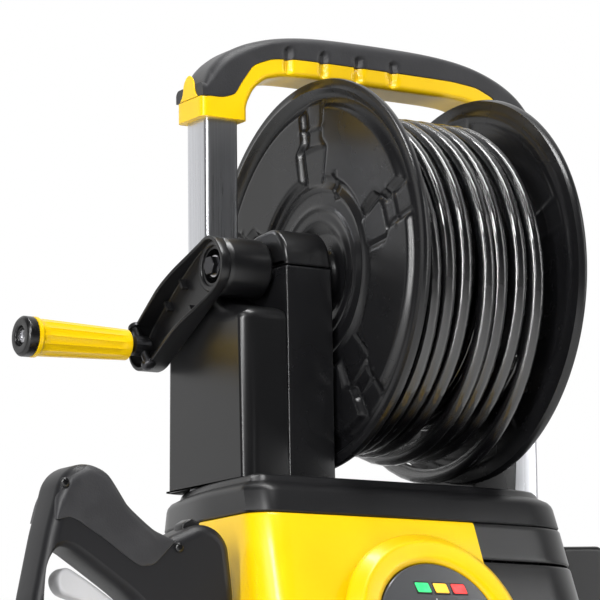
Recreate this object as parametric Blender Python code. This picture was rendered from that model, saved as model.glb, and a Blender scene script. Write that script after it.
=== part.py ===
"""Upright electric pressure washer with a hose reel on top, one object for each piece.

Frame: metres, +Z up, the front faces -Y, and the hose reel turns about the X direction.
Everything hangs from one empty, which puts the middle of the bounding box above the origin.
"""
import math

import bmesh
import bpy
from mathutils import Matrix, Vector

# ---- Driving dimensions, in metres ------------------------------------------------------------
SHIFT_X = 0.05615           # moves the drawn centre line so that the whole part is centred
SHIFT_Y = -0.0180
GAP = 0.0003                # clearance between pieces that touch
WALL = 0.003                # moulded casing wall

REEL_Z = 0.56               # height of the reel's axle
FLANGE_R = 0.145
FLANGE_X = 0.0687           # each flange's place along the axle
DRUM_R = 0.094
HOSE_PACK_R = 0.1400
AXLE_R = 0.008
BEARING_R = 0.0085

TUBE_X = (0.1185, 0.1463)   # handle tube, inner and outer side
TUBE_Y = (0.0225, 0.0518)   # handle tube, front and back
TUBE_WALL = 0.0018
TUBE_FOOT_Z = 0.20          # lower end of the lowered handle tubes
SLEEVE_Z = 0.675            # lower edge of the handle's sleeves
BEAM_RISE = 0.072           # top of the handle above the sleeves
BEAM_HALF = 0.1515

TOWER_OUT_X = (0.1135, 0.1505)
TOWER_IN_X = (0.0745, 0.1130)
DECK_Z = 0.404
BAND_Z = (0.3755, 0.3965)   # lower and upper edge of the deck's side band
SHELL_Z = (0.1253, 0.3752)

CRANK_X = -0.1512           # inner face of the crank's boss
CRANK_ARM = (0.074, -0.049)  # from the axle to the grip's pivot, along Y and Z
PIVOT_X = -0.1715
GRIP_LENGTH = 0.096

WHEEL_Y = 0.105
WHEEL_R = 0.095
WHEEL_X = (0.180, 0.218)
SHAFT_R = 0.006

GUN_Y = -0.0601             # middle plane of the trigger gun
GUN_HALF = 0.0185
FACE_TILT = math.radians(18.3)   # lean of the front cover
PANEL_X = -0.048
PANEL_Z = 0.2915

MOTOR = (-0.02, 0.01)       # motor and pump axis

# Casing outline seen from above, anticlockwise from the front left corner, at three heights.
PLAN_TOP = [(-0.172, -0.071), (-0.160, -0.084), (-0.080, -0.086), (0.006, -0.086), (0.070, -0.083),
            (0.092, -0.073), (0.125, -0.022), (0.1575, 0.028), (0.158, 0.078), (0.130, 0.108),
            (-0.125, 0.110), (-0.152, 0.080), (-0.163, 0.036), (-0.170, -0.004)]
PLAN_MID = [(-0.181, -0.116), (-0.168, -0.130), (-0.083, -0.134), (0.011, -0.134), (0.082, -0.130),
            (0.103, -0.116), (0.136, -0.060), (0.163, 0.010), (0.166, 0.085), (0.137, 0.122),
            (-0.132, 0.124), (-0.161, 0.090), (-0.173, 0.030), (-0.180, -0.026)]
PLAN_LOW = [(-0.186, -0.146), (-0.172, -0.160), (-0.085, -0.166), (0.014, -0.166), (0.090, -0.161),
            (0.111, -0.146), (0.140, -0.080), (0.166, 0.000), (0.168, 0.085), (0.142, 0.128),
            (-0.137, 0.130), (-0.166, 0.090), (-0.176, 0.030), (-0.185, -0.045)]
PLAN_HEIGHTS = [(0.380, PLAN_TOP), (0.245, PLAN_MID), (0.100, PLAN_LOW)]

YELLOW = (0.90, 0.66, 0.0)
BLACK = (0.018, 0.018, 0.02)
GREY = (0.16, 0.16, 0.17)
ALUMINIUM = (0.62, 0.63, 0.65)
STEEL = (0.45, 0.45, 0.46)


# ---- Helpers ----------------------------------------------------------------------------------
def clear_scene():
    for item in list(bpy.data.objects):
        bpy.data.objects.remove(item, do_unlink=True)


def material(name, colour, roughness=0.5, metallic=0.0):
    mat = bpy.data.materials.new(name)
    mat.use_nodes = True
    shader = mat.node_tree.nodes["Principled BSDF"]
    shader.inputs["Base Color"].default_value = (*colour, 1.0)
    shader.inputs["Roughness"].default_value = roughness
    shader.inputs["Metallic"].default_value = metallic
    return mat


def place(name, mesh, look, parent, origin=(0, 0, 0)):
    """Wrap a mesh drawn in the part's frame in an object whose origin is at the given point."""
    mesh.transform(Matrix.Translation(-Vector(origin)))
    mesh.set_sharp_from_angle(angle=math.radians(35))
    obj = bpy.data.objects.new(name, mesh)
    bpy.context.scene.collection.objects.link(obj)
    obj.parent = parent
    obj.location = origin
    mesh.materials.append(material(name, *look))
    return obj


def finish_mesh(name, bm):
    bmesh.ops.recalc_face_normals(bm, faces=bm.faces)
    mesh = bpy.data.meshes.new(name)
    bm.to_mesh(mesh)
    bm.free()
    mesh.shade_smooth()
    return mesh


def loft(name, rings, closed=False):
    """Join rings of equal count; the first and last are capped unless the loft closes on itself."""
    bm = bmesh.new()
    loops = [[bm.verts.new(p) for p in ring] for ring in rings]
    pairs = list(zip(loops, loops[1:]))
    if closed:
        pairs.append((loops[-1], loops[0]))
    for low, high in pairs:
        for i in range(len(low)):
            j = (i + 1) % len(low)
            bm.faces.new((low[i], low[j], high[j], high[i]))
    if not closed:
        bm.faces.new(list(reversed(loops[0])))
        bm.faces.new(loops[-1])
    return finish_mesh(name, bm)


def turned(name, profile, centre, axis="X", steps=32):
    """Turn a closed profile of (radius, place along the axis) about an axis through centre."""
    def point(radius, along, angle):
        a = radius * math.cos(angle)
        b = radius * math.sin(angle)
        local = {"X": (along, a, b), "Y": (b, along, a), "Z": (a, b, along)}[axis]
        return Vector(centre) + Vector(local)

    on_axis = profile[0][0] < 1e-6 and profile[-1][0] < 1e-6
    bm = bmesh.new()
    if on_axis:
        first = bm.verts.new(point(0, profile[0][1], 0))
        last = bm.verts.new(point(0, profile[-1][1], 0))
        middle = profile[1:-1]
    else:
        middle = profile
    angles = [2 * math.pi * k / steps for k in range(steps)]
    loops = [[bm.verts.new(point(r, x, t)) for r, x in middle] for t in angles]
    for k in range(steps):
        here, there = loops[k], loops[(k + 1) % steps]
        count = len(middle)
        for i in range(count if not on_axis else count - 1):
            j = (i + 1) % count
            bm.faces.new((here[i], here[j], there[j], there[i]))
        if on_axis:
            bm.faces.new((first, here[0], there[0]))
            bm.faces.new((here[-1], last, there[-1]))
    return finish_mesh(name, bm)


def prism(name, outline, near, far, axis="X", holes=()):
    """Extrude a flat outline along an axis from near to far, with through holes if given."""
    def point(p, along):
        return {"X": (along, p[0], p[1]), "Y": (p[0], along, p[1]), "Z": (p[0], p[1], along)}[axis]

    bm = bmesh.new()
    edges = []
    for loop in (outline, *holes):
        verts = [bm.verts.new(point(p, near)) for p in loop]
        edges += [bm.edges.new((verts[i - 1], verts[i])) for i in range(len(verts))]
    bmesh.ops.triangle_fill(bm, edges=edges, use_beauty=True, use_dissolve=False)
    grown = bmesh.ops.extrude_face_region(bm, geom=bm.faces[:], use_keep_orig=True)
    step = Vector(point((0, 0), far)) - Vector(point((0, 0), near))
    moved = [item for item in grown["geom"] if isinstance(item, bmesh.types.BMVert)]
    bmesh.ops.translate(bm, verts=moved, vec=step)
    return finish_mesh(name, bm)


def box_mesh(name, low, high):
    corners = [(low[0], low[1]), (high[0], low[1]), (high[0], high[1]), (low[0], high[1])]
    return prism(name, corners, low[2], high[2], axis="Z")


def cut(target, tool_mesh, parent):
    """Take a cutter's shape out of a target with an exact Boolean."""
    cutter = bpy.data.objects.new("cutter_" + tool_mesh.name, tool_mesh)
    bpy.context.scene.collection.objects.link(cutter)
    cutter.parent = parent
    cutter.hide_render = True
    cutter.display_type = "WIRE"
    modifier = target.modifiers.new("cut", "BOOLEAN")
    modifier.operation = "DIFFERENCE"
    modifier.object = cutter


def arc(centre, radius, start, end, count):
    """Points on an arc, angles in degrees, both ends included."""
    points = []
    for k in range(count):
        angle = math.radians(start + (end - start) * k / (count - 1))
        points.append((centre[0] + radius * math.cos(angle), centre[1] + radius * math.sin(angle)))
    return points


def mirror_x(points):
    return [(-x, y) for x, y in reversed(points)]


def plan_at(z):
    """Casing outline at a height, interpolated between the three drawn outlines."""
    for (z_high, high), (z_low, low) in zip(PLAN_HEIGHTS, PLAN_HEIGHTS[1:]):
        if z >= z_low or low is PLAN_LOW:
            t = min(max((z - z_low) / (z_high - z_low), 0.0), 1.2)
            return [Vector(b).lerp(Vector(a), t) for a, b in zip(high, low)]
    return [Vector(p) for p in PLAN_LOW]


def inset(points, distance):
    """Move an anticlockwise outline inwards by a distance, mitred at its corners."""
    moved = []
    for i, here in enumerate(points):
        a = (here - points[i - 1]).normalized()
        b = (points[(i + 1) % len(points)] - here).normalized()
        normal = Vector((-a.y, a.x))
        mitre = (normal + Vector((-b.y, b.x))).normalized()
        moved.append(here + mitre * distance / max(mitre.dot(normal), 0.5))
    return moved


def casing_wall(name, indices, heights, look, parent):
    """One open wall of the casing that follows the plan outline between two of its corners."""
    rings = []
    for z in heights:
        plan = plan_at(z)
        sides = []
        for outline in (plan, inset(plan, WALL)):
            line = [outline[i] for i in indices]
            line[0] = line[0] + (line[1] - line[0]).normalized() * GAP
            line[-1] = line[-1] + (line[-2] - line[-1]).normalized() * GAP
            sides.append(line)
        rings.append([(p.x, p.y, z) for p in sides[0] + sides[1][::-1]])
    return place(name, loft(name, rings), look, parent)


# ---- Base and wheels --------------------------------------------------------------------------
def build_base(root):
    look = (BLACK, 0.6)
    low, high = 0.045, SHELL_Z[0] - GAP
    rings = [[(p.x, p.y, z) for p in inset(plan_at(z), d)]
             for z, d in ((low, 0.016), (low + 0.012, 0.002), (high, 0.001))]
    inner = [[(p.x, p.y, z) for p in inset(plan_at(z), d)]
             for z, d in ((high, 0.006), (low + 0.016, 0.008), (low + 0.006, 0.022))]
    base = place("base_frame", loft("base_frame", rings + inner), look, root)
    bore = turned("axle_bore", [(0, -0.25), (SHAFT_R + GAP, -0.25), (SHAFT_R + GAP, 0.25), (0, 0.25)],
                  (0, WHEEL_Y, WHEEL_R), steps=16)
    cut(base, bore, root)
    for side, x in (("left", -0.135), ("right", 0.065)):
        mesh = turned("foot_" + side, [(0, 0), (0.015, 0), (0.018, 0.004), (0.018, low - GAP),
                                       (0, low - GAP)], (x, -0.115, 0), axis="Z", steps=20)
        place("foot_" + side, mesh, (BLACK, 0.8), root)


def build_wheels(root):
    axle = turned("wheel_axle", [(0, -0.2195), (SHAFT_R, -0.2195), (SHAFT_R, 0.2195), (0, 0.2195)],
                  (0, WHEEL_Y, WHEEL_R), steps=16)
    place("wheel_axle", axle, (STEEL, 0.35, 1.0), root)
    near, far = WHEEL_X
    for side, sign in (("left", -1), ("right", 1)):
        centre = Vector((0, WHEEL_Y, WHEEL_R))
        tyre = [(0.0723, near), (WHEEL_R - 0.006, near), (WHEEL_R, near + 0.008),
                (WHEEL_R, far - 0.008), (WHEEL_R - 0.006, far), (0.0723, far)]
        rim = [(SHAFT_R + GAP, near + 0.002), (0.020, near + 0.002), (0.022, 0.196), (0.066, 0.196),
               (0.068, near + 0.001), (0.072, near + 0.001), (0.072, far - 0.001),
               (0.068, far - 0.001), (0.064, 0.204), (0.022, 0.204), (0.020, far - 0.002),
               (SHAFT_R + GAP, far - 0.002)]
        cap = [(0, 0.2198), (SHAFT_R + GAP, 0.2198), (0.009, 0.2165), (0.012, 0.2165),
               (0.0155, 0.220), (0.010, 0.2235), (0, 0.2245)]
        for name, profile, look, steps in (("wheel_tyre", tyre, (BLACK, 0.8), 40),
                                           ("wheel_rim", rim, (GREY, 0.5), 32),
                                           ("hub_cap", cap, (YELLOW, 0.4), 24)):
            full = name + "_" + side
            drawn = [(r, sign * x) for r, x in profile]
            place(full, turned(full, drawn, centre, steps=steps), look, root, centre)


# ---- Casing -----------------------------------------------------------------------------------
def build_casing(root):
    low, high = SHELL_Z
    heights = (low, 0.245, high)
    casing_wall("front_cover", (13, 0, 1, 2, 3), heights, (YELLOW, 0.35), root)
    casing_wall("right_side_panel", (3, 4, 5, 6, 7), heights, (BLACK, 0.45), root)
    casing_wall("rear_shell", (7, 8, 9, 10, 11, 12, 13), heights, (BLACK, 0.5), root)

    band_low, band_high = BAND_Z
    outer = [(band_low, 0.0), (band_high, 0.0), (DECK_Z - 0.002, 0.009), (DECK_Z, 0.014)]
    inner = [(DECK_Z - WALL, 0.015), (band_high, 0.005), (band_low, 0.004)]
    rings = [[(p.x, p.y, z) for p in inset(plan_at(z), d)] for z, d in outer]
    roof = [[(p.x, p.y, z) for p in inset(plan_at(z), d)] for z, d in inner]
    deck = place("top_cover", shell_cap("top_cover", rings, roof), (BLACK, 0.4), root)
    for sign in (-1, 1):
        cut(deck, tube_channel("deck_socket", sign, 0.3, 0.5), root)
    hose_way = box_mesh("hose_way", (0.094, 0.0115, 0.36), (0.109, 0.029, 0.42))
    cut(deck, hose_way, root)


def shell_cap(name, outer, inner):
    """An open-bottomed cap: outer rings rising, inner rings falling, and a flat rim between."""
    bm = bmesh.new()
    out = [[bm.verts.new(p) for p in ring] for ring in outer]
    ins = [[bm.verts.new(p) for p in ring] for ring in inner]
    count = len(outer[0])
    for low, high in [*zip(out, out[1:]), *zip(ins, ins[1:]), (ins[-1], out[0])]:
        for i in range(count):
            j = (i + 1) % count
            bm.faces.new((low[i], low[j], high[j], high[i]))
    bm.faces.new(out[-1])
    bm.faces.new(ins[0])
    return finish_mesh(name, bm)


def tube_channel(name, sign, low, high):
    near, far = sorted((sign * (TUBE_X[0] - 0.002), sign * (TUBE_X[1] + 0.002)))
    return box_mesh(name, (near, TUBE_Y[0] - 0.002, low), (far, TUBE_Y[1] + 0.002, high))


# ---- Reel towers ------------------------------------------------------------------------------
def build_towers(root):
    foot = DECK_Z + GAP
    outer_outline = [(0.076, foot), (0.0755, REEL_Z - 0.012), (0.068, REEL_Z + 0.008),
                     (0.055, REEL_Z + 0.013), (0.026, REEL_Z + 0.008), (0.022, REEL_Z - 0.012),
                     (0.006, REEL_Z - 0.0255), (-0.012, REEL_Z - 0.0285), (-0.0325, REEL_Z - 0.034),
                     (-0.0345, foot)]
    saddle = arc((0, REEL_Z), BEARING_R, 0, -180, 9)
    inner_outline = ([(0.072, foot), (0.066, REEL_Z - 0.060), (0.036, REEL_Z - 0.012),
                      (0.032, REEL_Z - GAP)] + saddle
                     + [(-0.032, REEL_Z - GAP), (-0.0335, REEL_Z - 0.03), (-0.0345, foot)])
    cap_outline = ([(-0.032, REEL_Z)] + arc((0, REEL_Z), BEARING_R, 180, 0, 9)
                   + [(0.032, REEL_Z), (0.030, REEL_Z + 0.012)]
                   + [(0.016, REEL_Z + 0.026), (-0.016, REEL_Z + 0.029), (-0.029, REEL_Z + 0.016)])
    slim_outline = inner_outline[:-2] + [(-0.0345, REEL_Z - 0.075), (0.004, REEL_Z - 0.115),
                                         (0.008, foot)]
    brace_outline = [(0.076, foot), (0.0755, REEL_Z - 0.030), (0.070, REEL_Z - 0.012),
                     (0.058, REEL_Z - 0.008), (0.0542, REEL_Z - 0.018), (0.0542, foot)]
    sides = (("left", -1, outer_outline, (-0.0305, 0.0175), inner_outline, -0.030),
             ("right", 1, brace_outline, (0.0572, 0.0730), slim_outline, 0.011))
    for side, sign, outer_line, pocket, inner_line, front in sides:
        xs = sorted(sign * x for x in TOWER_OUT_X)
        name = "tower_" + side + "_outer"
        outer = place(name, prism(name, outer_line, *xs), (BLACK, 0.35), root)
        near, far = sorted(sign * x for x in (0.1165, 0.1475))
        cut(outer, box_mesh("tower_pocket", (near, pocket[0], 0.38), (far, pocket[1], 0.515)), root)
        xs = sorted(sign * x for x in TOWER_IN_X)
        name = "tower_" + side + "_inner"
        inner = place(name, prism(name, inner_line, *xs), (GREY, 0.4), root)
        near, far = sorted(sign * x for x in (0.0775, 0.110))
        cut(inner, box_mesh("inner_pocket", (near, front, 0.38), (far, 0.060, 0.485)), root)
        if side == "left":
            cut(outer, tube_channel("tower_socket", sign, 0.38, 0.62), root)
        else:
            cut(inner, box_mesh("bend_way", (0.094, -0.008, 0.47), (0.109, 0.028, 0.535)), root)
            feed = turned("feed_way", [(0, 0.53), (0.0075, 0.53), (0.0075, 0.60), (0, 0.60)],
                          (0.1015, 0, 0), axis="Z", steps=16)
            cut(inner, feed, root)
        name = "bearing_cap_" + side
        place(name, prism(name, cap_outline, *xs), (BLACK, 0.4), root)


# ---- Hose reel --------------------------------------------------------------------------------
def build_reel(root):
    centre = Vector((0, 0, REEL_Z))
    for side, sign in (("left", -1), ("right", 1)):
        name = "reel_flange_" + side
        plate = FLANGE_X
        profile = [(AXLE_R + GAP, plate - 0.006), (0.030, plate - 0.006), (0.034, plate - 0.0015),
                   (DRUM_R - 0.0050, plate - 0.0015), (DRUM_R - 0.0050, plate - 0.0050),
                   (DRUM_R - 0.0020, plate - 0.0050), (DRUM_R - 0.0020, plate - 0.0015),
                   (FLANGE_R - 0.006, plate - 0.0015),
                   (FLANGE_R - 0.002, plate - 0.0022), (FLANGE_R, plate + 0.0005),
                   (FLANGE_R - 0.002, plate + 0.0035), (FLANGE_R - 0.007, plate + 0.0015),
                   (0.050, plate + 0.0015), (0.036, plate - 0.0025), (AXLE_R + GAP, plate - 0.0025)]
        drawn = [(r, sign * x) for r, x in profile]
        place(name, turned(name, drawn, centre, steps=48), (BLACK, 0.3), root, centre)
    edge = FLANGE_X - 0.0015 - GAP
    drum = [(DRUM_R - 0.0015, -edge), (DRUM_R, -edge), (DRUM_R, edge), (DRUM_R - 0.0015, edge)]
    place("reel_drum", turned("reel_drum", drum, centre, steps=32), (BLACK, 0.5), root, centre)
    axle = [(0, -0.1535), (AXLE_R, -0.1535), (AXLE_R, 0.0925), (0, 0.0925)]
    place("reel_axle", turned("reel_axle", axle, centre, steps=20), (STEEL, 0.3, 1.0), root, centre)
    pack = [(DRUM_R + GAP, -0.0655), (HOSE_PACK_R, -0.0655), (HOSE_PACK_R, 0.0655),
            (DRUM_R + GAP, 0.0655)]
    place("hose_pack", turned("hose_pack", pack, centre, steps=40), (BLACK, 0.15), root, centre)
    plug = [(0, -0.022), (0.0045, -0.022), (0.0045, -0.008), (0.006, -0.007), (0.006, 0.012),
            (0.0045, 0.013), (0.0045, 0.022), (0, 0.022)]
    seat = centre + Vector((0.048, 0.1467, 0))
    place("hose_connector", turned("hose_connector", plug, seat, axis="Z", steps=16),
          (STEEL, 0.3, 1.0), root, centre)
    swivel = [(0, 0.0935), (0.0066, 0.0935), (0.0066, 0.0975), (0.0045, 0.0975), (0.0045, 0.107),
              (0, 0.107)]
    place("reel_swivel", turned("reel_swivel", swivel, (0, 0, REEL_Z), steps=16),
          (ALUMINIUM, 0.3, 1.0), root)


def build_crank(root):
    """Crank: a tubular boss, a channel arm that leans outwards, and a folding grip."""
    centre = Vector((0, 0, REEL_Z))
    length = math.hypot(*CRANK_ARM)
    along = Vector((0, CRANK_ARM[0], CRANK_ARM[1])) / length
    across = Vector((0, -along.z, along.y))
    lean = (PIVOT_X + 0.0165 - CRANK_X) / length

    def point(s, w, depth):
        """A place s along the arm, w across it and depth outwards from its back."""
        return centre + along * s + across * w + Vector((CRANK_X + lean * max(s, 0.0) - depth, 0, 0))

    half = [(-0.019, 0.010), (-0.011, 0.0195), (0.004, 0.0225), (0.028, 0.0232), (0.055, 0.0216),
            (0.092, 0.0187), (0.103, 0.0125), (0.107, 0.004)]
    outline = half + [(s, -w) for s, w in reversed(half)]
    inner = [(s + (0.0025 if s < 0 else -0.0025 if s > 0.1 else 0), w - math.copysign(0.0025, w))
             for s, w in outline]
    rings = [[point(s, w, 0.0) for s, w in outline], [point(s, w, 0.017) for s, w in outline],
             [point(s, w, 0.017) for s, w in inner], [point(s, w, 0.0028) for s, w in inner]]
    arm = place("crank_arm", loft("crank_arm", rings), (BLACK, 0.4), root, centre)
    socket = turned("arm_bore", [(0, -0.18), (AXLE_R + GAP, -0.18), (AXLE_R + GAP, -0.13),
                                 (0, -0.13)], centre, steps=20)
    cut(arm, socket, root)
    pivot = centre + Vector((PIVOT_X, *CRANK_ARM))
    pin_hole = pin_mesh("pin_hole", pivot, across, 0.0033, 0.03)
    cut(arm, pin_hole, root)

    boss = [(AXLE_R + GAP, -0.1508), (0.0195, -0.1508), (0.0215, -0.149), (0.0215, -0.1185),
            (0.0195, -0.1165), (AXLE_R + GAP, -0.1165)]
    place("crank_boss", turned("crank_boss", boss, centre, steps=32), (BLACK, 0.4), root, centre)

    place("crank_pivot_pin", pin_mesh("crank_pivot_pin", pivot, across, 0.003, 0.0205),
          (STEEL, 0.3, 1.0), root, pivot)
    spindle = [(0, 0.0075), (0.0055, 0.0075), (0.0075, 0.004), (0.0075, -0.008), (0.0045, -0.010),
               (0.0045, -0.088), (0, -0.088)]
    body = place("crank_spindle", turned("crank_spindle", spindle, pivot, steps=20),
                 (STEEL, 0.35, 1.0), root, pivot)
    cut(body, pin_mesh("spindle_hole", pivot, across, 0.0033, 0.03), root)
    start, end = -0.0125, -0.0125 - GRIP_LENGTH + 0.018
    grip = [(0.0048, start), (0.0105, start), (0.0118, start - 0.002), (0.0125, -0.05),
            (0.0145, end + 0.002), (0.0145, end), (0.0048, end)]
    place("crank_grip", turned("crank_grip", grip, pivot, steps=28), (YELLOW, 0.4), root, pivot)
    cap = [(0, end - GAP), (0.0147, end - GAP), (0.0147, end - 0.007), (0.0130, end - 0.0092),
           (0.0045, end - 0.0092), (0.0045, end - 0.006), (0, end - 0.006)]
    place("crank_grip_cap", turned("crank_grip_cap", cap, pivot, steps=28), (GREY, 0.4), root, pivot)


def pin_mesh(name, centre, direction, radius, half):
    """A round pin through centre along any direction."""
    side = direction.cross(Vector((1, 0, 0))).normalized()
    up = direction.cross(side)
    rings = []
    for end in (-half, half):
        rings.append([centre + direction * end + radius * (side * math.cos(t) + up * math.sin(t))
                      for t in (2 * math.pi * k / 16 for k in range(16))])
    return loft(name, rings)


# ---- Telescopic handle ------------------------------------------------------------------------
def build_handle(root):
    front, back = TUBE_Y
    base = Vector((0, 0, SLEEVE_Z))
    for side, sign in (("left", -1), ("right", 1)):
        near, far = sorted(sign * x for x in TUBE_X)
        name = "handle_tube_" + side
        frame = [(near, front), (far, front), (far, back), (near, back)]
        hollow = [(near + TUBE_WALL, front + TUBE_WALL), (far - TUBE_WALL, front + TUBE_WALL),
                  (far - TUBE_WALL, back - TUBE_WALL), (near + TUBE_WALL, back - TUBE_WALL)]
        mesh = prism(name, frame, TUBE_FOOT_Z, SLEEVE_Z + 0.018, axis="Z", holes=[hollow])
        place(name, mesh, (ALUMINIUM, 0.3, 1.0), root, base)

    def arch(half_width, rise, count):
        """Right half of the handle's rounded top, from the middle to the side."""
        points = []
        for k in range(count):
            x = half_width * math.sin(math.pi / 2 * k / (count - 1))
            z = rise * (1 - (x / half_width) ** 3.0) ** (1 / 2.6)
            points.append((x, SLEEVE_Z + z))
        return points

    low = arch(BEAM_HALF, BEAM_RISE - 0.021, 11)
    shoulder = arc((0.085, SLEEVE_Z + 0.009), 0.027, 70, 5, 5)
    inner = [(0.030, SLEEVE_Z + 0.0390), (0.070, SLEEVE_Z + 0.0390)] + shoulder + [(0.1130, SLEEVE_Z)]
    side = low[:-1] + [(BEAM_HALF, SLEEVE_Z + 0.006), (BEAM_HALF, SLEEVE_Z)] + inner[::-1]
    outline = side[1:] + mirror_x(side[1:]) + [side[0]]
    depth = (front - 0.0040, back + 0.0045)
    beam = place("handle_bar", prism("handle_bar", outline, *depth, axis="Y"), (YELLOW, 0.35), root,
                 base)
    for sign in (-1, 1):
        near, far = sorted(sign * x for x in (TUBE_X[0] - GAP, TUBE_X[1] + GAP))
        cut(beam, box_mesh("sleeve_socket", (near, front - GAP, SLEEVE_Z - 0.01),
                           (far, back + GAP, SLEEVE_Z + 0.018 + GAP)), root)
    top = arch(BEAM_HALF, BEAM_RISE, 11)
    low_half = [(x, z + GAP * 1.5) for x, z in low[:-2]]
    right = top[:-1] + [(BEAM_HALF, SLEEVE_Z + 0.030)] + low_half[::-1]
    outline = right + mirror_x(right[1:-1])
    pad = (depth[0] - 0.001, depth[1] + 0.001)
    place("handle_overmould", prism("handle_overmould", outline, *pad, axis="Y"), (GREY, 0.7), root,
          base)


# ---- Trigger gun ------------------------------------------------------------------------------
def build_gun(root):
    rise = REEL_Z
    hump = arc((-0.297, rise - 0.181), 0.0225, 175, 30, 6)
    second = arc((-0.208, rise - 0.216), 0.021, 115, 20, 4)
    outline = (hump + [(-0.270, rise - 0.183), (-0.237, rise - 0.2076)] + second
               + [(-0.1835, rise - 0.242), (-0.1835, rise - 0.372), (-0.197, rise - 0.380),
                  (-0.222, rise - 0.380), (-0.226, rise - 0.358)]
               + arc((-0.262, rise - 0.300), 0.070, -60, -125, 5)
               + [(-0.334, rise - 0.300), (-0.3368, rise - 0.250), (-0.3268, rise - 0.205)])
    loop = [(-0.3285, rise - 0.247), (-0.3265, rise - 0.226), (-0.319, rise - 0.2145),
            (-0.3086, rise - 0.2154), (-0.2898, rise - 0.2273), (-0.262, rise - 0.2455),
            (-0.240, rise - 0.266), (-0.236, rise - 0.300), (-0.242, rise - 0.335),
            (-0.262, rise - 0.352), (-0.292, rise - 0.345), (-0.318, rise - 0.322),
            (-0.3285, rise - 0.285)]
    halves = (("gun_shell_front", GUN_Y - GUN_HALF, GUN_Y - GAP / 2),
              ("gun_shell_back", GUN_Y + GAP / 2, GUN_Y + GUN_HALF))
    slot = [(-0.262, rise - 0.262), (-0.262, rise - 0.2425), (-0.231, rise - 0.236),
            (-0.212, rise - 0.250), (-0.212, rise - 0.290), (-0.240, rise - 0.290)]
    bore = turned("lance_bore", [(0, rise - 0.39), (0.0085, rise - 0.39), (0.0085, rise - 0.300),
                                 (0, rise - 0.300)], (-0.203, GUN_Y, 0), axis="Z", steps=20)
    latch_way = box_mesh("latch_way", (-0.2195, GUN_Y - 0.0063, rise - 0.22),
                         (-0.2045, GUN_Y + 0.0063, rise - 0.18))
    for name, near, far in halves:
        half = place(name, prism(name, outline, near, far, axis="Y", holes=[loop]), (GREY, 0.45),
                     root, (-0.203, GUN_Y, rise - 0.2))
        cut(half, prism("trigger_slot", slot, GUN_Y - 0.009, GUN_Y + 0.009, axis="Y"), root)
        cut(half, bore.copy(), root)
        cut(half, latch_way.copy(), root)
    latch = [(-0.219, rise - 0.2195), (-0.205, rise - 0.2195), (-0.205, rise - 0.193),
             (-0.212, rise - 0.190), (-0.219, rise - 0.194)]
    place("gun_safety_latch", prism("gun_safety_latch", latch, GUN_Y - 0.006, GUN_Y + 0.006,
                                    axis="Y"), (YELLOW, 0.4), root,
          (-0.212, GUN_Y, rise - 0.2195))
    blade = [(-0.222, rise - 0.262), (-0.235, rise - 0.250), (-0.262, rise - 0.2545),
             (-0.2898, rise - 0.2365), (-0.3086, rise - 0.2260), (-0.3170, rise - 0.2340),
             (-0.3130, rise - 0.2450), (-0.2950, rise - 0.2500), (-0.262, rise - 0.2690),
             (-0.236, rise - 0.2740), (-0.222, rise - 0.272)]
    place("gun_trigger", prism("gun_trigger", blade, GUN_Y - 0.0075, GUN_Y + 0.0075, axis="Y"),
          (STEEL, 0.4), root, (-0.226, GUN_Y, rise - 0.266))
    lance = [(0, rise - 0.478), (0.0045, rise - 0.478), (0.009, rise - 0.470), (0.009, rise - 0.40),
             (0.0145, rise - 0.3955), (0.0145, rise - 0.382), (0.0082, rise - 0.3805),
             (0.0082, rise - 0.302), (0, rise - 0.302)]
    place("gun_barrel", turned("gun_barrel", lance, (-0.203, GUN_Y, 0), axis="Z", steps=20),
          (BLACK, 0.4), root, (-0.203, GUN_Y, rise - 0.302))
    cup = [(0.0152, rise - 0.396), (0.0178, rise - 0.396), (0.0170, rise - 0.500),
           (0.0125, rise - 0.500)]
    place("gun_holster", turned("gun_holster", cup, (-0.203, GUN_Y, 0), axis="Z", steps=24),
          (BLACK, 0.5), root)


# ---- Control panel ----------------------------------------------------------------------------
def build_controls(root):
    """Dial, display and lamps, drawn level and then leaned back onto the front cover."""
    plan = plan_at(PANEL_Z)
    face = Vector((PANEL_X, plan[2].y, PANEL_Z))
    out = Vector((0, -math.cos(FACE_TILT), math.sin(FACE_TILT)))
    up = Vector((0, math.sin(FACE_TILT), math.cos(FACE_TILT)))
    right = Vector((1, 0, 0))

    def at(x, y, lift):
        return face + right * x + up * y + out * lift

    def disc(name, profile, look, centre=(0.0, 0.0), steps=40):
        """A turned piece on the leaning face, from a profile of (radius, lift)."""
        solid = profile[0][0] == 0
        body = profile[1:-1] if solid else profile
        turns = [2 * math.pi * k / steps for k in range(steps)]
        rings = [[at(centre[0] + r * math.cos(t), centre[1] + r * math.sin(t), h) for t in turns]
                 for r, h in body]
        mesh = loft(name, rings, closed=not solid)
        return place(name, mesh, look, root, at(*centre, 0.0))

    seat = 0.0032
    disc("control_ring", [(0.050, seat), (0.074, seat), (0.074, 0.006), (0.066, 0.013),
                          (0.052, 0.012), (0.050, 0.009)], (YELLOW, 0.3))
    disc("display_panel", [(0, seat), (0.0495, seat), (0.0495, 0.0095), (0, 0.0095)], (GREY, 0.3))
    disc("mode_knob", [(0, 0.0098), (0.025, 0.0098), (0.0235, 0.024), (0.020, 0.027), (0, 0.027)],
         (YELLOW, 0.4), centre=(0.0, -0.014), steps=28)
    lamps = (("lamp_green", -0.010, (0.05, 0.8, 0.25)), ("lamp_amber", 0.005, (0.95, 0.55, 0.05)),
             ("lamp_red", 0.020, (0.9, 0.05, 0.06)))
    for name, x, colour in lamps:
        corners = [(x - 0.0045, 0.0275), (x + 0.0065, 0.0275), (x + 0.0045, 0.0345),
                   (x - 0.0065, 0.0345)]
        rings = [[at(a, b, h) for a, b in corners] for h in (0.0098, 0.0112)]
        place(name, loft(name, rings), (colour, 0.3), root, at(x, 0.03, 0.0098))


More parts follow.
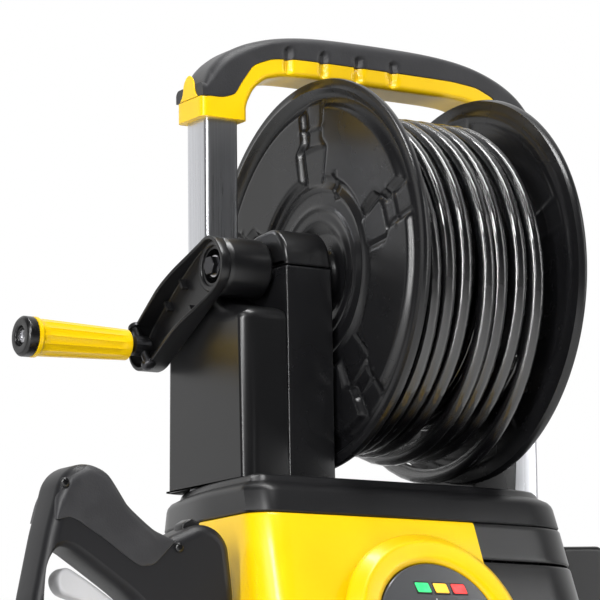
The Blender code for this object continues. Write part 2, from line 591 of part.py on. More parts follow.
# ---- Brackets ---------------------------------------------------------------------------------
def build_brackets(root):
    pivot = Vector((0.1645, 0.045, 0.355))
    stem = [(0, 0.1602), (0.009, 0.1602), (0.009, 0.1642), (0, 0.1642)]
    place("hook_boss", turned("hook_boss", stem, (0, 0.045, 0.355), steps=20), (BLACK, 0.5), root)
    arm = [(0.1645, 0.330), (0.203, 0.328), (0.203, 0.300), (0.208, 0.292), (0.217, 0.296),
           (0.217, 0.372), (0.212, 0.378), (0.172, 0.376), (0.1645, 0.367)]
    place("cable_hook", prism("cable_hook", arm, 0.033, 0.057, axis="Y"), (BLACK, 0.4), root,
          pivot)
    gland = [(0, 0.1236), (0.011, 0.1236), (0.009, 0.1500), (0.0045, 0.1500), (0.0045, 0.1300),
             (0, 0.1300)]
    place("cord_gland", turned("cord_gland", gland, (0.06, 0.0045, 0.22), axis="Y", steps=20),
          (BLACK, 0.6), root)
    inlet = [(0.0065, 0.1236), (0.013, 0.1236), (0.013, 0.150), (0.0105, 0.156), (0.0065, 0.156)]
    place("water_inlet", turned("water_inlet", inlet, (-0.06, 0.0045, 0.20), axis="Y", steps=20),
          (STEEL, 0.35, 1.0), root)


# ---- Motor and pump ---------------------------------------------------------------------------
def build_drive(root):
    x, y = MOTOR
    shaft = Vector((x, y, 0))
    stator = [(0.0345, 0.215), (0.055, 0.215), (0.055, 0.300), (0.0345, 0.300)]
    place("motor_stator", turned("motor_stator", stator, shaft, axis="Z", steps=28),
          (ALUMINIUM, 0.5, 1.0), root)
    rotor = [(0, 0.160), (0.006, 0.160), (0.006, 0.222), (0.0335, 0.222), (0.0335, 0.293),
             (0.006, 0.293), (0.006, 0.322), (0, 0.322)]
    place("motor_rotor", turned("motor_rotor", rotor, shaft, axis="Z", steps=28),
          (STEEL, 0.4, 1.0), root, (x, y, 0.25))
    blades = []
    for k in range(12):
        angle = 30 * k
        blades += [(x + r * math.cos(math.radians(angle + d)), y + r * math.sin(math.radians(angle + d)))
                   for r, d in ((0.020, 0), (0.044, 6), (0.044, 14), (0.020, 16))]
    hole = arc((x, y), 0.0063, 360, 22.5, 16)
    place("motor_fan", prism("motor_fan", blades, 0.305, 0.318, axis="Z", holes=[hole]),
          (BLACK, 0.5), root, (x, y, 0.31))
    pump = [(0.0065, 0.2147), (0.055, 0.2147), (0.055, 0.135), (0.050, 0.135), (0.050, 0.205),
            (0.0065, 0.205)]
    place("pump_body", turned("pump_body", pump, shaft, axis="Z", steps=28), (ALUMINIUM, 0.5, 1.0),
          root)
    tilt = math.tan(math.radians(8))
    rings = []
    for lift, radius in ((0.0, 0.0063), (0.0, 0.040), (0.010, 0.040), (0.010, 0.0063)):
        ring = []
        for k in range(28):
            angle = 2 * math.pi * k / 28
            slope = radius * math.cos(angle) * tilt
            ring.append((x + radius * math.cos(angle), y + radius * math.sin(angle),
                         0.176 + lift + slope))
        rings.append(ring)
    place("wobble_plate", loft("wobble_plate", rings, closed=True), (STEEL, 0.3, 1.0), root,
          (x, y, 0.18))
    head = box_mesh("pump_head", (x - 0.048, y - 0.048, 0.082), (x + 0.048, y + 0.048, 0.1347))
    place("pump_head", head, (ALUMINIUM, 0.4, 1.0), root)


def build_feed_hose(root):
    """High-pressure pipe from the pump's head up inside the right tower to the reel's swivel."""
    start = Vector((MOTOR[0] + 0.0490, 0.0, 0.108))
    route = [start, Vector((0.070, -0.003, 0.112)), Vector((0.1015, -0.003, 0.160)),
             Vector((0.1015, 0.0, 0.30)), Vector((0.1015, 0.020, 0.375)),
             Vector((0.1015, 0.020, 0.475)), Vector((0.1015, 0.0, 0.525)), Vector((0.1015, 0.0, 0.553))]
    points = []
    for a, b in zip(route, route[1:]):
        steps = max(2, int((b - a).length / 0.03))
        points += [a.lerp(b, k / steps) for k in range(steps)]
    points.append(route[-1])
    for _ in range(2):
        points = ([points[0]] + [(a + b * 2 + c) / 4 for a, b, c in zip(points, points[1:], points[2:])]
                  + [points[-1]])
    curve = bpy.data.curves.new("feed_pipe", "CURVE")
    curve.dimensions = "3D"
    curve.bevel_depth = 0.0045
    curve.bevel_resolution = 2
    curve.use_fill_caps = True
    spline = curve.splines.new("POLY")
    spline.points.add(len(points) - 1)
    for slot, p in zip(spline.points, points):
        slot.co = (*p, 1.0)
    obj = bpy.data.objects.new("feed_pipe", curve)
    bpy.context.scene.collection.objects.link(obj)
    obj.parent = root
    curve.materials.append(material("feed_pipe", BLACK, 0.5))


def main():
    clear_scene()
    root = bpy.data.objects.new("washer_frame", None)
    bpy.context.scene.collection.objects.link(root)
    root.location = (SHIFT_X, SHIFT_Y, 0)
    for build in (build_base, build_wheels, build_casing, build_towers, build_reel, build_crank,
                  build_handle, build_gun, build_controls, build_brackets, build_drive,
                  build_feed_hose):
        build(root)


main()
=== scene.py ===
"""Looks of an upright pressure washer with a hose reel, built around its packed frame."""
import math

import bmesh
import bpy
import numpy as np
from bpy.props import FloatProperty, FloatVectorProperty, IntProperty, PointerProperty
from mathutils import Matrix, Vector


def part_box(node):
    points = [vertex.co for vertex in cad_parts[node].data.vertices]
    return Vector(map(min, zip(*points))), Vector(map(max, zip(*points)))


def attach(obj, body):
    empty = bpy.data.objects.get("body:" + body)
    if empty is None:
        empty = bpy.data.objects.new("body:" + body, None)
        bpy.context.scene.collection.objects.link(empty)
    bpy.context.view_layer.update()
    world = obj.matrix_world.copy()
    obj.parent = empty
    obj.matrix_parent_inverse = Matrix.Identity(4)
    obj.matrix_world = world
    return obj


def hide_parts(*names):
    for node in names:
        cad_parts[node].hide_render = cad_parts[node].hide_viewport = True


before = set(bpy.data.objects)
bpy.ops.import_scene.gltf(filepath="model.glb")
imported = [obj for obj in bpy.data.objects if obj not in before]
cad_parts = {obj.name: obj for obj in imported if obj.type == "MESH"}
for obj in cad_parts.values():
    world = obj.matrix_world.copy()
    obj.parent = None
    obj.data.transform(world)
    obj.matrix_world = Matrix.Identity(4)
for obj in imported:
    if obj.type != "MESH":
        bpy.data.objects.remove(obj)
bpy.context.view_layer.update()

bl_info = {
    "name": "Pressure washer looks",
    "version": (1, 0, 0),
    "blender": (4, 5, 0),
    "location": "3D View > Sidebar > Washer",
    "description": "Builds the finished surfaces of a reel-topped pressure washer",
    "category": "Object",
}

TAU = 2 * math.pi


# ---- Places read from the frame ---------------------------------------------------------------
def low(node):
    return np.array(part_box(node)[0], float)


def high(node):
    return np.array(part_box(node)[1], float)


def middle(node):
    return (low(node) + high(node)) / 2


HUB = middle("reel_drum")                        # centre of the reel
PART_X = HUB[0]                                  # the machine's own centre line
PART_Y = HUB[1]
REEL_Z = HUB[2]
FLANGE_R = high("reel_flange_left")[2] - REEL_Z
FLANGE_X = middle("reel_flange_right")[0] - PART_X
DRUM_R = high("reel_drum")[2] - REEL_Z
DECK_Z = high("top_cover")[2]
BAND_Z = low("top_cover")[2]
SHELL_LOW = low("front_cover")[2]
SLEEVE_Z = low("handle_bar")[2]
GUN_Y = (low("gun_shell_front")[1] + high("gun_shell_back")[1]) / 2
WHEEL_Z = middle("wheel_tyre_left")[2]
WHEEL_Y = middle("wheel_tyre_left")[1]
WHEEL_R = high("wheel_tyre_left")[2] - WHEEL_Z
PIVOT = middle("crank_pivot_pin")


def reach_x(node):
    """Least and greatest distance of a node's box from the machine's centre line."""
    return sorted(abs(x - PART_X) for x in (low(node)[0], high(node)[0]))


# ---- Sizes and colours that a user may change -------------------------------------------------
def tint(name, note, default):
    return FloatVectorProperty(name=name, description=note, subtype="COLOR", size=3, default=default)


class WasherColours(bpy.types.PropertyGroup):
    yellow: tint("Yellow", "Casing and handle plastic", (0.84, 0.53, 0.0))
    black: tint("Black", "Casing, tower and crank plastic", (0.004, 0.004, 0.0045))
    charcoal: tint("Charcoal", "Reel flanges and inner towers", (0.0045, 0.0045, 0.0052))
    gun_grey: tint("Gun grey", "Trigger gun shells", (0.007, 0.007, 0.0082))
    light_grey: tint("Light grey", "Trigger", (0.45, 0.45, 0.46))
    metal: tint("Metal", "Anodised handle tubes", (0.7, 0.71, 0.74))


class WasherSizes(bpy.types.PropertyGroup):
    hose_diameter: FloatProperty(name="Hose diameter", description="Outside diameter of the hose",
        default=0.012, unit="LENGTH")
    hose_length: FloatProperty(name="Hose length", description="Length wound on the reel", default=10.0,
        unit="LENGTH")
    outer_turns: IntProperty(name="Outer turns", description="Turns in the reel's outer layer",
        default=7, min=3, max=8)
    spoke_count: IntProperty(name="Reel panels", description="Embossed panels on a flange", default=5,
        min=3, max=9)
    flute_count: IntProperty(name="Grip flutes", description="Flutes round the crank's grip",
        default=14, min=6, max=30)
    tread_count: IntProperty(name="Tread blocks", description="Tread blocks round a wheel", default=40,
        min=12, max=80)
    camera_distance: FloatProperty(name="Camera distance", description="Camera to reel centre",
        default=2.421, unit="LENGTH")
    camera_yaw: FloatProperty(name="Camera yaw", description="Turn from the front to the left",
        default=math.radians(32.13), subtype="ANGLE")
    camera_pitch: FloatProperty(name="Camera pitch", description="Upward look of the camera",
        default=math.radians(9.935), subtype="ANGLE")
    camera_roll: FloatProperty(name="Camera roll", description="Roll of the camera",
        default=math.radians(-0.653), subtype="ANGLE")


def colours():
    return bpy.context.scene.washer_colours


def sizes():
    return bpy.context.scene.washer_sizes


# ---- Shader expressions -----------------------------------------------------------------------
class Shade:
    """A node socket that takes part in Python arithmetic by adding Math nodes."""

    def __init__(self, tree, socket):
        self.tree = tree
        self.socket = socket

    def _math(self, operation, *others, swap=False):
        values = [self, *others]
        if swap:
            values = values[::-1]
        return self.tree.add("ShaderNodeMath", {"operation": operation}, values)

    def __add__(self, other):
        return self._math("ADD", other)

    __radd__ = __add__

    def __sub__(self, other):
        return self._math("SUBTRACT", other)

    def __rsub__(self, other):
        return self._math("SUBTRACT", other, swap=True)

    def __mul__(self, other):
        return self._math("MULTIPLY", other)

    __rmul__ = __mul__

    def __truediv__(self, other):
        return self._math("DIVIDE", other)

    def __pow__(self, other):
        return self._math("POWER", other)

    def clipped(self, near, far):
        """0 below near, 1 above far, and a straight ramp between."""
        return self.tree.add("ShaderNodeMapRange", {"clamp": True}, [self, near, far, 0.0, 1.0])


class Tree:
    """A node tree whose nodes all come from one method."""

    def __init__(self, tree):
        self.nodes = tree.nodes
        self.links = tree.links

    def add(self, kind, settings=None, values=(), out=0):
        node = self.nodes.new(kind)
        for key, value in (settings or {}).items():
            setattr(node, key, value)
        pairs = values.items() if isinstance(values, dict) else enumerate(values)
        for key, value in pairs:
            self.plug(value, node.inputs[key])
        return Shade(self, node.outputs[out])

    def plug(self, value, socket):
        if isinstance(value, Shade):
            self.links.new(value.socket, socket)
        else:
            socket.default_value = value


class Finish(Tree):
    """A material under construction, with its Principled shader."""

    def __init__(self, name, colour, roughness=0.4, metallic=0.0, **fixed):
        self.material = bpy.data.materials.new(name)
        self.material.use_nodes = True
        super().__init__(self.material.node_tree)
        self.set("Base Color", (*colour, 1.0))
        self.set("Roughness", roughness)
        self.set("Metallic", metallic)
        for socket, value in fixed.items():
            self.set(socket.replace("_", " "), value)

    def set(self, socket, value):
        self.plug(value, self.nodes["Principled BSDF"].inputs[socket])

    def place(self, scale=(1.0, 1.0, 1.0)):
        """Object coordinates, stretched by a Mapping node."""
        coords = self.add("ShaderNodeTexCoord", out=3)
        return self.add("ShaderNodeMapping", {}, {"Vector": coords, "Scale": scale})

    def noise(self, where, scale, detail=3.0, rough=0.5):
        return self.add("ShaderNodeTexNoise", {}, {"Vector": where, "Scale": scale, "Detail": detail,
            "Roughness": rough})

    def blend(self, mask, first, second):
        """A colour that runs from first to second with the mask."""
        return self.add("ShaderNodeMix", {"data_type": "RGBA"}, {"Factor": mask, 6: (*first, 1.0),
            7: (*second, 1.0)}, out=2)

    def bump(self, height, depth, strength=1.0):
        bumped = self.add("ShaderNodeBump", {}, {"Height": height, "Distance": depth,
            "Strength": strength})
        self.set("Normal", bumped)


def moulded(name, colour, roughness=0.34, grain=1.0, coat=0.0, shine=0.34):
    """Moulded plastic: spark-eroded grain, faint flow shading and handling scuffs."""
    made = Finish(name, colour, roughness, Coat_Weight=coat, Coat_Roughness=0.12,
        Specular_IOR_Level=shine)
    where = made.place()
    flow = made.noise(where, 9.0, 3.0)
    fine = made.noise(where, 1500.0, 2.0)
    scuff = made.noise(where, 90.0, 6.0, 0.7).clipped(0.6, 0.78)
    lift = tuple(min(1.0, c * 1.12 + 0.002) for c in colour)
    shade = tuple(c * 0.9 for c in colour)
    made.set("Base Color", made.blend(flow.clipped(0.3, 0.7), shade, lift))
    made.set("Roughness", roughness - 0.04 + flow * 0.08 + scuff * 0.07)
    made.bump(fine * 0.7 + flow * 0.3, 0.00012 * grain, 0.35)
    return made.material


def soft_rubber(name, colour, roughness=0.66):
    """Overmoulded rubber: dull, finely pebbled, a little dusty in patches."""
    made = Finish(name, colour, roughness, Sheen_Weight=0.12, Sheen_Roughness=0.5)
    where = made.place()
    dust = made.noise(where, 34.0, 5.0, 0.65).clipped(0.45, 0.8)
    pebble = made.add("ShaderNodeTexVoronoi", {"feature": "SMOOTH_F1"},
        {"Vector": where, "Scale": 900.0})
    pale = tuple(c * 1.35 + 0.008 for c in colour)
    made.set("Base Color", made.blend(dust, colour, pale))
    made.set("Roughness", roughness + dust * 0.1)
    made.bump(pebble, 0.00016, 0.4)
    return made.material


def brushed(name, colour, roughness=0.3, along=2):
    """Metal brushed along one axis: long fine streaks in colour, roughness and relief."""
    made = Finish(name, colour, roughness, 1.0)
    stretch = [900.0, 900.0, 900.0]
    stretch[along] = 6.0
    streak = made.noise(made.place(tuple(stretch)), 1.0, 4.0, 0.6)
    cloud = made.noise(made.place(), 14.0, 2.0)
    dark = tuple(c * 0.84 for c in colour)
    bright = tuple(min(1.0, c * 1.08) for c in colour)
    made.set("Base Color", made.blend(streak.clipped(0.3, 0.7), dark, bright))
    made.set("Roughness", roughness - 0.06 + streak * 0.12 + cloud * 0.05)
    made.bump(streak, 0.00004, 0.5)
    return made.material


def cast_metal(name, colour, roughness=0.5):
    """Sand-cast alloy: mottled colour and a coarse skin."""
    made = Finish(name, colour, roughness, 1.0)
    where = made.place()
    skin = made.noise(where, 420.0, 4.0)
    patch = made.noise(where, 30.0, 3.0).clipped(0.35, 0.7)
    dark = tuple(c * 0.72 for c in colour)
    made.set("Base Color", made.blend(patch, dark, colour))
    made.set("Roughness", roughness + patch * 0.12)
    made.bump(skin, 0.0003, 0.5)
    return made.material


def hose_finish(name):
    """Extruded hose jacket: glossy black with a woven ply that shows through as fine ribs."""
    made = Finish(name, (0.003, 0.003, 0.0035), 0.12, Coat_Weight=0.9, Coat_Roughness=0.05,
        Specular_IOR_Level=0.6)
    uv = made.add("ShaderNodeTexCoord", out=2)
    along = made.add("ShaderNodeSeparateXYZ", {}, [uv])
    around = Shade(made, along.socket.node.outputs[1])
    ply_a = (along * 9000.0 + around * 9.0)._math("SINE")
    ply_b = (along * 9000.0 - around * 9.0)._math("SINE")
    ply = (ply_a * ply_b) * 0.5 + 0.5
    dust = made.noise(made.place(), 45.0, 5.0, 0.7).clipped(0.5, 0.85)
    made.set("Roughness", 0.12 + ply * 0.06 + dust * 0.1)
    made.set("Base Color", made.blend(dust, (0.003, 0.003, 0.0035), (0.009, 0.009, 0.0095)))
    made.bump(ply, 0.00012, 0.5)
    return made.material


def lamp_finish(name, colour):
    """Tinted lamp window, lit from behind."""
    made = Finish(name, colour, 0.2, Coat_Weight=0.5)
    glow = made.noise(made.place(), 160.0, 2.0)
    tint = tuple(min(1.0, c * 1.3 + 0.02) for c in colour)
    mixed = made.blend(glow.clipped(0.3, 0.7), colour, tint)
    made.set("Base Color", mixed)
    made.set("Emission Color", mixed)
    made.set("Emission Strength", 0.7)
    return made.material


def floor_finish(name):
    made = Finish(name, (0.86, 0.86, 0.86), 0.55)
    made.bump(made.noise(made.place(), 60.0, 3.0), 0.0002, 0.2)
    return made.material


FINISHES = {}


def finish(name):
    """The named material, made once and kept."""
    if name not in FINISHES:
        tints = colours()
        recipes = {
            "yellow": (moulded, "yellow_plastic", tints.yellow, 0.3, 0.6, 0.15),
            "black": (moulded, "black_plastic", tints.black, 0.3, 0.8, 0.0, 0.5),
            "deck_black": (moulded, "deck_plastic", tints.charcoal, 0.34, 1.4),
            "charcoal": (moulded, "charcoal_plastic", tints.charcoal, 0.27, 0.6, 0.0, 0.5),
            "gun": (moulded, "gun_plastic", tints.gun_grey, 0.42, 1.4),
            "trigger": (moulded, "trigger_plastic", tints.light_grey, 0.38),
            "rubber": (soft_rubber, "grip_rubber", (0.012, 0.012, 0.014), 0.48),
            "tyre": (soft_rubber, "tyre_rubber", (0.016, 0.016, 0.017), 0.72),
            "tube": (brushed, "brushed_tube", tints.metal, 0.27),
            # Dark steel: the real colour of the pivot pins and caps, and painted shade on the axle nut.
            "dark_steel_and_shade": (brushed, "blackened_steel_and_shade", (0.07, 0.07, 0.075), 0.34, 0),
            "steel": (brushed, "turned_steel", (0.55, 0.55, 0.57), 0.28, 0),
            "cast": (cast_metal, "cast_alloy", (0.55, 0.55, 0.57)),
            "brass": (brushed, "turned_brass", (0.72, 0.5, 0.2), 0.25, 1),
            "hose": (hose_finish, "hose_jacket"),
            "glass": (moulded, "display_plastic", (0.06, 0.062, 0.066), 0.24, 0.3, 0.4),
            "green": (lamp_finish, "green_window", (0.03, 0.62, 0.16)),
            "amber": (lamp_finish, "amber_window", (0.9, 0.42, 0.03)),
            "red": (lamp_finish, "red_window", (0.85, 0.04, 0.04)),
            "floor": (floor_finish, "studio_floor"),
        }
        make, *values = recipes[name]
        FINISHES[name] = make(*values)
    return FINISHES[name]


# ---- Surfaces ---------------------------------------------------------------------------------
def in_scene(name, data):
    obj = bpy.data.objects.new(name, data)
    bpy.context.scene.collection.objects.link(obj)
    return obj


def around(steps):
    """Evenly spaced angles of a whole turn, one in each row."""
    return np.linspace(0, TAU, steps, endpoint=False)[:, None]


def run_of(line):
    """Distance along a line at each of its points."""
    return np.concatenate([[0], np.cumsum(np.linalg.norm(np.diff(line, axis=0), axis=1))])


def sampled(line, count, endpoint=True):
    """Evenly spaced points along a line."""
    run = run_of(line)
    at = np.linspace(0, run[-1], count, endpoint=endpoint)
    return np.stack([np.interp(at, run, line[:, k]) for k in (0, 1)], -1)


def grid_mesh(points, wrap_u=True, wrap_v=False, caps=(False, False), uv=None):
    """A mesh from points[u, v]: quads between neighbours, with fan caps on the first and last v."""
    nu, nv = points.shape[:2]
    index = np.arange(nu * nv).reshape(nu, nv)
    u = np.arange(nu if wrap_u else nu - 1)
    v = np.arange(nv if wrap_v else nv - 1)
    uu, vv = np.meshgrid(u, v, indexing="ij")
    un, vn = (uu + 1) % nu, (vv + 1) % nv
    quads = np.stack([index[uu, vv], index[un, vv], index[un, vn], index[uu, vn]], -1)
    faces = quads.reshape(-1, 4).tolist()
    if caps[0]:
        faces.append(index[::-1, 0].tolist())
    if caps[1]:
        faces.append(index[:, -1].tolist())
    mesh = bpy.data.meshes.new("surface")
    mesh.from_pydata(points.reshape(-1, 3).tolist(), [], faces)
    mesh.update()
    if uv is not None:
        layer = mesh.uv_layers.new(name="UVMap")
        loops = np.empty(len(mesh.loops), dtype=np.int32)
        mesh.loops.foreach_get("vertex_index", loops)
        layer.data.foreach_set("uv", uv.reshape(-1, 2)[loops].astype(np.float32).ravel())
    return mesh


def settle(mesh, angle=40.0):
    """Turn all faces outwards and smooth them up to an angle."""
    work = bmesh.new()
    work.from_mesh(mesh)
    bmesh.ops.remove_doubles(work, verts=work.verts, dist=1e-7)
    bmesh.ops.recalc_face_normals(work, faces=work.faces)
    work.to_mesh(mesh)
    work.free()
    smoothed(mesh, angle)


def smoothed(mesh, angle=40.0):
    """Smooth shading up to an angle, with the many-sided end faces left flat."""
    sides = np.empty(len(mesh.polygons), dtype=np.int32)
    mesh.polygons.foreach_get("loop_total", sides)
    mesh.shade_smooth()
    mesh.set_sharp_from_angle(angle=math.radians(angle))
    mesh.polygons.foreach_set("use_smooth", sides < 9)
    mesh.update()


def piece(name, mesh, look, *nodes, body="body", slot=None, angle=40.0):
    """Put a finished mesh in the scene, riding on its body in place of some nodes."""
    mesh.name = name
    settle(mesh, angle)
    obj = in_scene(name, mesh)
    mesh.materials.append(finish(look))
    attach(obj, body)
    if nodes:
        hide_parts(*nodes)
    return obj


def rounded(outline, radius, count=5):
    """Round each corner of a closed outline with an arc-like quadratic curve."""
    pts = np.asarray(outline, float)
    radii = np.full(len(pts), radius) if np.isscalar(radius) else np.asarray(radius, float)
    out = []
    t = np.linspace(0, 1, count)[:, None]
    for i, here in enumerate(pts):
        before, after = pts[i - 1], pts[(i + 1) % len(pts)]
        a, b = before - here, after - here
        la, lb = np.linalg.norm(a), np.linalg.norm(b)
        reach = min(radii[i], 0.48 * la, 0.48 * lb)
        start, end = here + a / la * reach, here + b / lb * reach
        out.append((1 - t) ** 2 * start + 2 * t * (1 - t) * here + t ** 2 * end)
    return np.concatenate(out)


def resampled(outline, count):
    """The same closed outline with evenly spaced points."""
    return sampled(np.vstack([outline, outline[:1]]), count, endpoint=False)


def winding(outline):
    """Twice the area inside a closed outline, positive where it runs anticlockwise."""
    x, y = outline[:, 0], outline[:, 1]
    return np.sum(x * np.roll(y, -1) - np.roll(x, -1) * y)


def outward(outline):
    """Unit normals of a closed outline, pointing away from its inside."""
    step = np.roll(outline, -1, 0) - np.roll(outline, 1, 0)
    normal = np.stack([step[:, 1], -step[:, 0]], -1)
    normal /= np.maximum(np.linalg.norm(normal, axis=1, keepdims=True), 1e-12)
    return normal if winding(outline) > 0 else -normal


def reach_of(outline, depth):
    """How far each point may move inwards, as a share of depth, before the outline would fold."""
    normal = outward(outline)
    after, before = np.roll(outline, -1, 0) - outline, outline - np.roll(outline, 1, 0)
    run = (np.linalg.norm(after, axis=1) + np.linalg.norm(before, axis=1)) / 2
    turn = (np.roll(normal, -1, 0) - np.roll(normal, 1, 0)) / (2 * run[:, None])
    tangent = np.stack([-normal[:, 1], normal[:, 0]], -1)
    bend = np.sum(turn * tangent, axis=1) * math.copysign(1.0, winding(outline))
    inwards = outline - normal * 1e-4
    step = inwards[:, None, :] - outline[None, :, :]
    apart = np.linalg.norm(outline[:, None] - outline[None], axis=2)
    facing = (normal @ normal.T < -0.2) & (np.sum(step * normal[:, None], axis=2) > 0)
    span = np.where(facing, apart, 1.0).min(axis=1)
    limit = np.minimum(0.85 / np.maximum(bend, 1e-6), span * 0.42)
    smallest = limit.copy()
    for shift in range(1, 1 + max(1, int(depth / max(run.mean(), 1e-6)))):
        near = np.minimum(np.roll(limit, shift), np.roll(limit, -shift))
        smallest = np.minimum(smallest, near + shift * run.mean() * 0.7)
    share = np.clip(smallest / depth, 0.02, 1.0)
    if len(outline) > FEW_POINTS:
        spread = range(-SHARE_SPREAD, SHARE_SPREAD + 1)
        share = np.minimum(share, sum(np.roll(share, k) for k in spread) / len(spread))
    return share[:, None, None]


def inset_rows(outline, profile, share=1.0):
    """The outline moved inwards by each row's inset, and each row's second value beside it."""
    flat = outline[:, None, :] - outward(outline)[:, None, :] * profile[None, :, :1] * share
    return flat, np.broadcast_to(profile[None, :, 1], flat.shape[:2])


FEW_POINTS = 60                                  # outlines this short are not evened out
SHARE_SPREAD = 5                                 # neighbours on each side that even out a share
AXES = {"X": (1, 2, 0), "Y": (0, 2, 1), "Z": (0, 1, 2)}


def carried(outline, profile, axis="X", caps=(True, True)):
    """A profile of (inset, place along the axis) carried round a closed outline.

    Each point is outline(u) - normal(u) * inset(v), at the profile's place along the axis.
    """
    outline = np.asarray(outline, float)
    profile = np.asarray(profile, float)
    deepest = max(float(profile[:, 0].max()), 1e-5)
    share = reach_of(outline, deepest) if profile[:, 0].min() >= 0 else 1.0
    flat, place = inset_rows(outline, profile, share)
    points = np.empty((*place.shape, 3))
    a, b, c = AXES[axis]
    points[..., a] = flat[..., 0]
    points[..., b] = flat[..., 1]
    points[..., c] = place
    return grid_mesh(points, caps=caps)


def edge_profile(near, far, radius, count=5):
    """Profile of a slab from near to far whose two edges are quarter rounds."""
    turn = np.linspace(0, math.pi / 2, count)
    inset = radius * (1 - np.sin(turn))
    drop = radius * (1 - np.cos(turn))
    sign = 1.0 if far > near else -1.0
    first = np.stack([inset, near + sign * drop], -1)
    last = np.stack([inset[::-1], far - sign * drop[::-1]], -1)
    return np.vstack([first, last])


def slab(outline, near, far, radius, axis="X", count=5):
    return carried(outline, edge_profile(near, far, radius, count), axis)


def turned(profile, centre, axis="X", steps=64, ripple=None):
    """A profile of (radius, place along the axis) turned about an axis through centre.

    ripple(angle, place) scales the radius, for flutes and tread.
    """
    profile = np.asarray(profile, float)
    angle = around(steps)
    radius = profile[None, :, 0] * np.ones_like(angle)
    along = profile[None, :, 1] * np.ones_like(angle)
    if ripple is not None:
        radius = radius * ripple(angle, along)
    points = np.empty((steps, len(profile), 3))
    a, b, c = AXES[axis]
    points[..., a] = centre[a] + radius * np.cos(angle)
    points[..., b] = centre[b] + radius * np.sin(angle)
    points[..., c] = centre[c] + along
    return grid_mesh(points, wrap_v=profile[0, 0] > 1e-9)


def filleted(profile, radius, count=4, closed=False):
    """An open or closed profile with its corners rounded."""
    pts = np.asarray(profile, float)
    if closed:
        return rounded(pts, radius, count)
    inner = rounded(pts, radius, count).reshape(len(pts), count, 2)[1:-1].reshape(-1, 2)
    return np.vstack([pts[:1], inner, pts[-1:]])


def arc(centre, radius, start, end, count):
    angle = np.radians(np.linspace(start, end, count))
    return np.stack([centre[0] + radius * np.cos(angle), centre[1] + radius * np.sin(angle)], -1)


def smooth(value, near, far):
    """Smooth step from 0 at near to 1 at far."""
    t = np.clip((value - near) / (far - near), 0, 1)
    return t * t * (3 - 2 * t)


def bell(value, centre, width):
    return np.exp(-((value - centre) / width) ** 2)


def cut_with(obj, cutter):
    """Take a cutter's volume out of a piece and apply the result."""
    settle(cutter)
    tool = in_scene("cutter", cutter)
    modifier = obj.modifiers.new("cut", "BOOLEAN")
    modifier.operation = "DIFFERENCE"
    modifier.object = tool
    modifier.solver = "EXACT"
    bpy.context.view_layer.update()
    evaluated = obj.evaluated_get(bpy.context.evaluated_depsgraph_get())
    result = bpy.data.meshes.new_from_object(evaluated)
    obj.modifiers.clear()
    obj.data = result
    bpy.data.objects.remove(tool, do_unlink=True)
    smoothed(obj.data)


def screw_head(name, centre, radius, axis="X", sign=1, body="body", look="steel"):
    """A low domed screw head with a round recess."""
    profile = [(0.0, 0.0), (radius, 0.0), (radius, 0.0006), (radius * 0.86, 0.0015),
        (radius * 0.55, 0.002), (radius * 0.52, 0.0008), (0.0, 0.0008)]
    drawn = [(r, sign * h) for r, h in profile]
    piece(name, turned(drawn, centre, axis, 36), look, body=body)


def disc(centre, angle, faces):
    """A disc across X from faces of (radius, place) over all the angles, closed into one skin."""
    radius, place = (np.concatenate(part, 1) for part in zip(*faces))
    points = np.stack([centre[0] + place, centre[1] + radius * np.cos(angle),
        centre[2] + radius * np.sin(angle)], -1)
    return grid_mesh(points, wrap_v=True)


# ---- Casing -----------------------------------------------------------------------------------
PLAN_TOP = [(-0.172, -0.071), (-0.16, -0.084), (-0.08, -0.086), (0.006, -0.086), (0.07, -0.083),
    (0.092, -0.073), (0.125, -0.022), (0.1575, 0.028), (0.158, 0.078), (0.13, 0.108), (-0.125, 0.11),
    (-0.152, 0.08), (-0.163, 0.036), (-0.17, -0.004)]
PLAN_MID = [(-0.181, -0.116), (-0.168, -0.13), (-0.083, -0.134), (0.011, -0.134), (0.082, -0.13),
    (0.103, -0.116), (0.136, -0.06), (0.163, 0.01), (0.166, 0.085), (0.137, 0.122), (-0.132, 0.124),
    (-0.161, 0.09), (-0.173, 0.03), (-0.18, -0.026)]
PLAN_LOW = [(-0.186, -0.146), (-0.172, -0.16), (-0.085, -0.166), (0.014, -0.166), (0.09, -0.161),
    (0.111, -0.146), (0.14, -0.08), (0.166, 0.0), (0.168, 0.085), (0.142, 0.128), (-0.137, 0.13),
    (-0.166, 0.09), (-0.176, 0.03), (-0.185, -0.045)]
LOUVRES, LOUVRE_LOW, LOUVRE_PITCH = 7, 0.285, 0.011
PLAN_HEIGHTS = (0.38, 0.245, 0.1)
SHOULDER = 0.028                                 # height of the right shoulder
PLAN_STEPS = 12                                  # points on each side of the outline
CORNER_SOFT = [0.006, 0.006, 0.04, 0.004, 0.012, 0.012, 0.06, 0.01, 0.03, 0.03, 0.03, 0.03, 0.05, 0.05]


def plan_at(z):
    """Casing outline at a height: the drawn outlines, blended over height, corners rounded."""
    top_z, mid_z, low_z = PLAN_HEIGHTS
    top, mid, base = (np.array(p) for p in (PLAN_TOP, PLAN_MID, PLAN_LOW))
    if z >= mid_z:
        plan = mid + (top - mid) * (z - mid_z) / (top_z - mid_z)
    else:
        plan = base + (mid - base) * (z - low_z) / (mid_z - low_z)
    return plan + (PART_X, PART_Y)


def side_run(z, first, last):
    """Densely spaced points along part of the outline, with softened corners."""
    plan = plan_at(z)
    count = len(plan)
    corner = rounded(plan, CORNER_SOFT, 7).reshape(count, 7, 2)
    between = [corner[i % count] for i in range(first + 1, last)]
    line = np.vstack([plan[first % count], *between, plan[last % count]])
    return sampled(line, PLAN_STEPS * (last - first) + 1)


def line_normals(line):
    step = np.gradient(line, axis=0)
    normal = np.stack([step[:, 1], -step[:, 0]], -1)
    return normal / np.linalg.norm(normal, axis=1, keepdims=True)


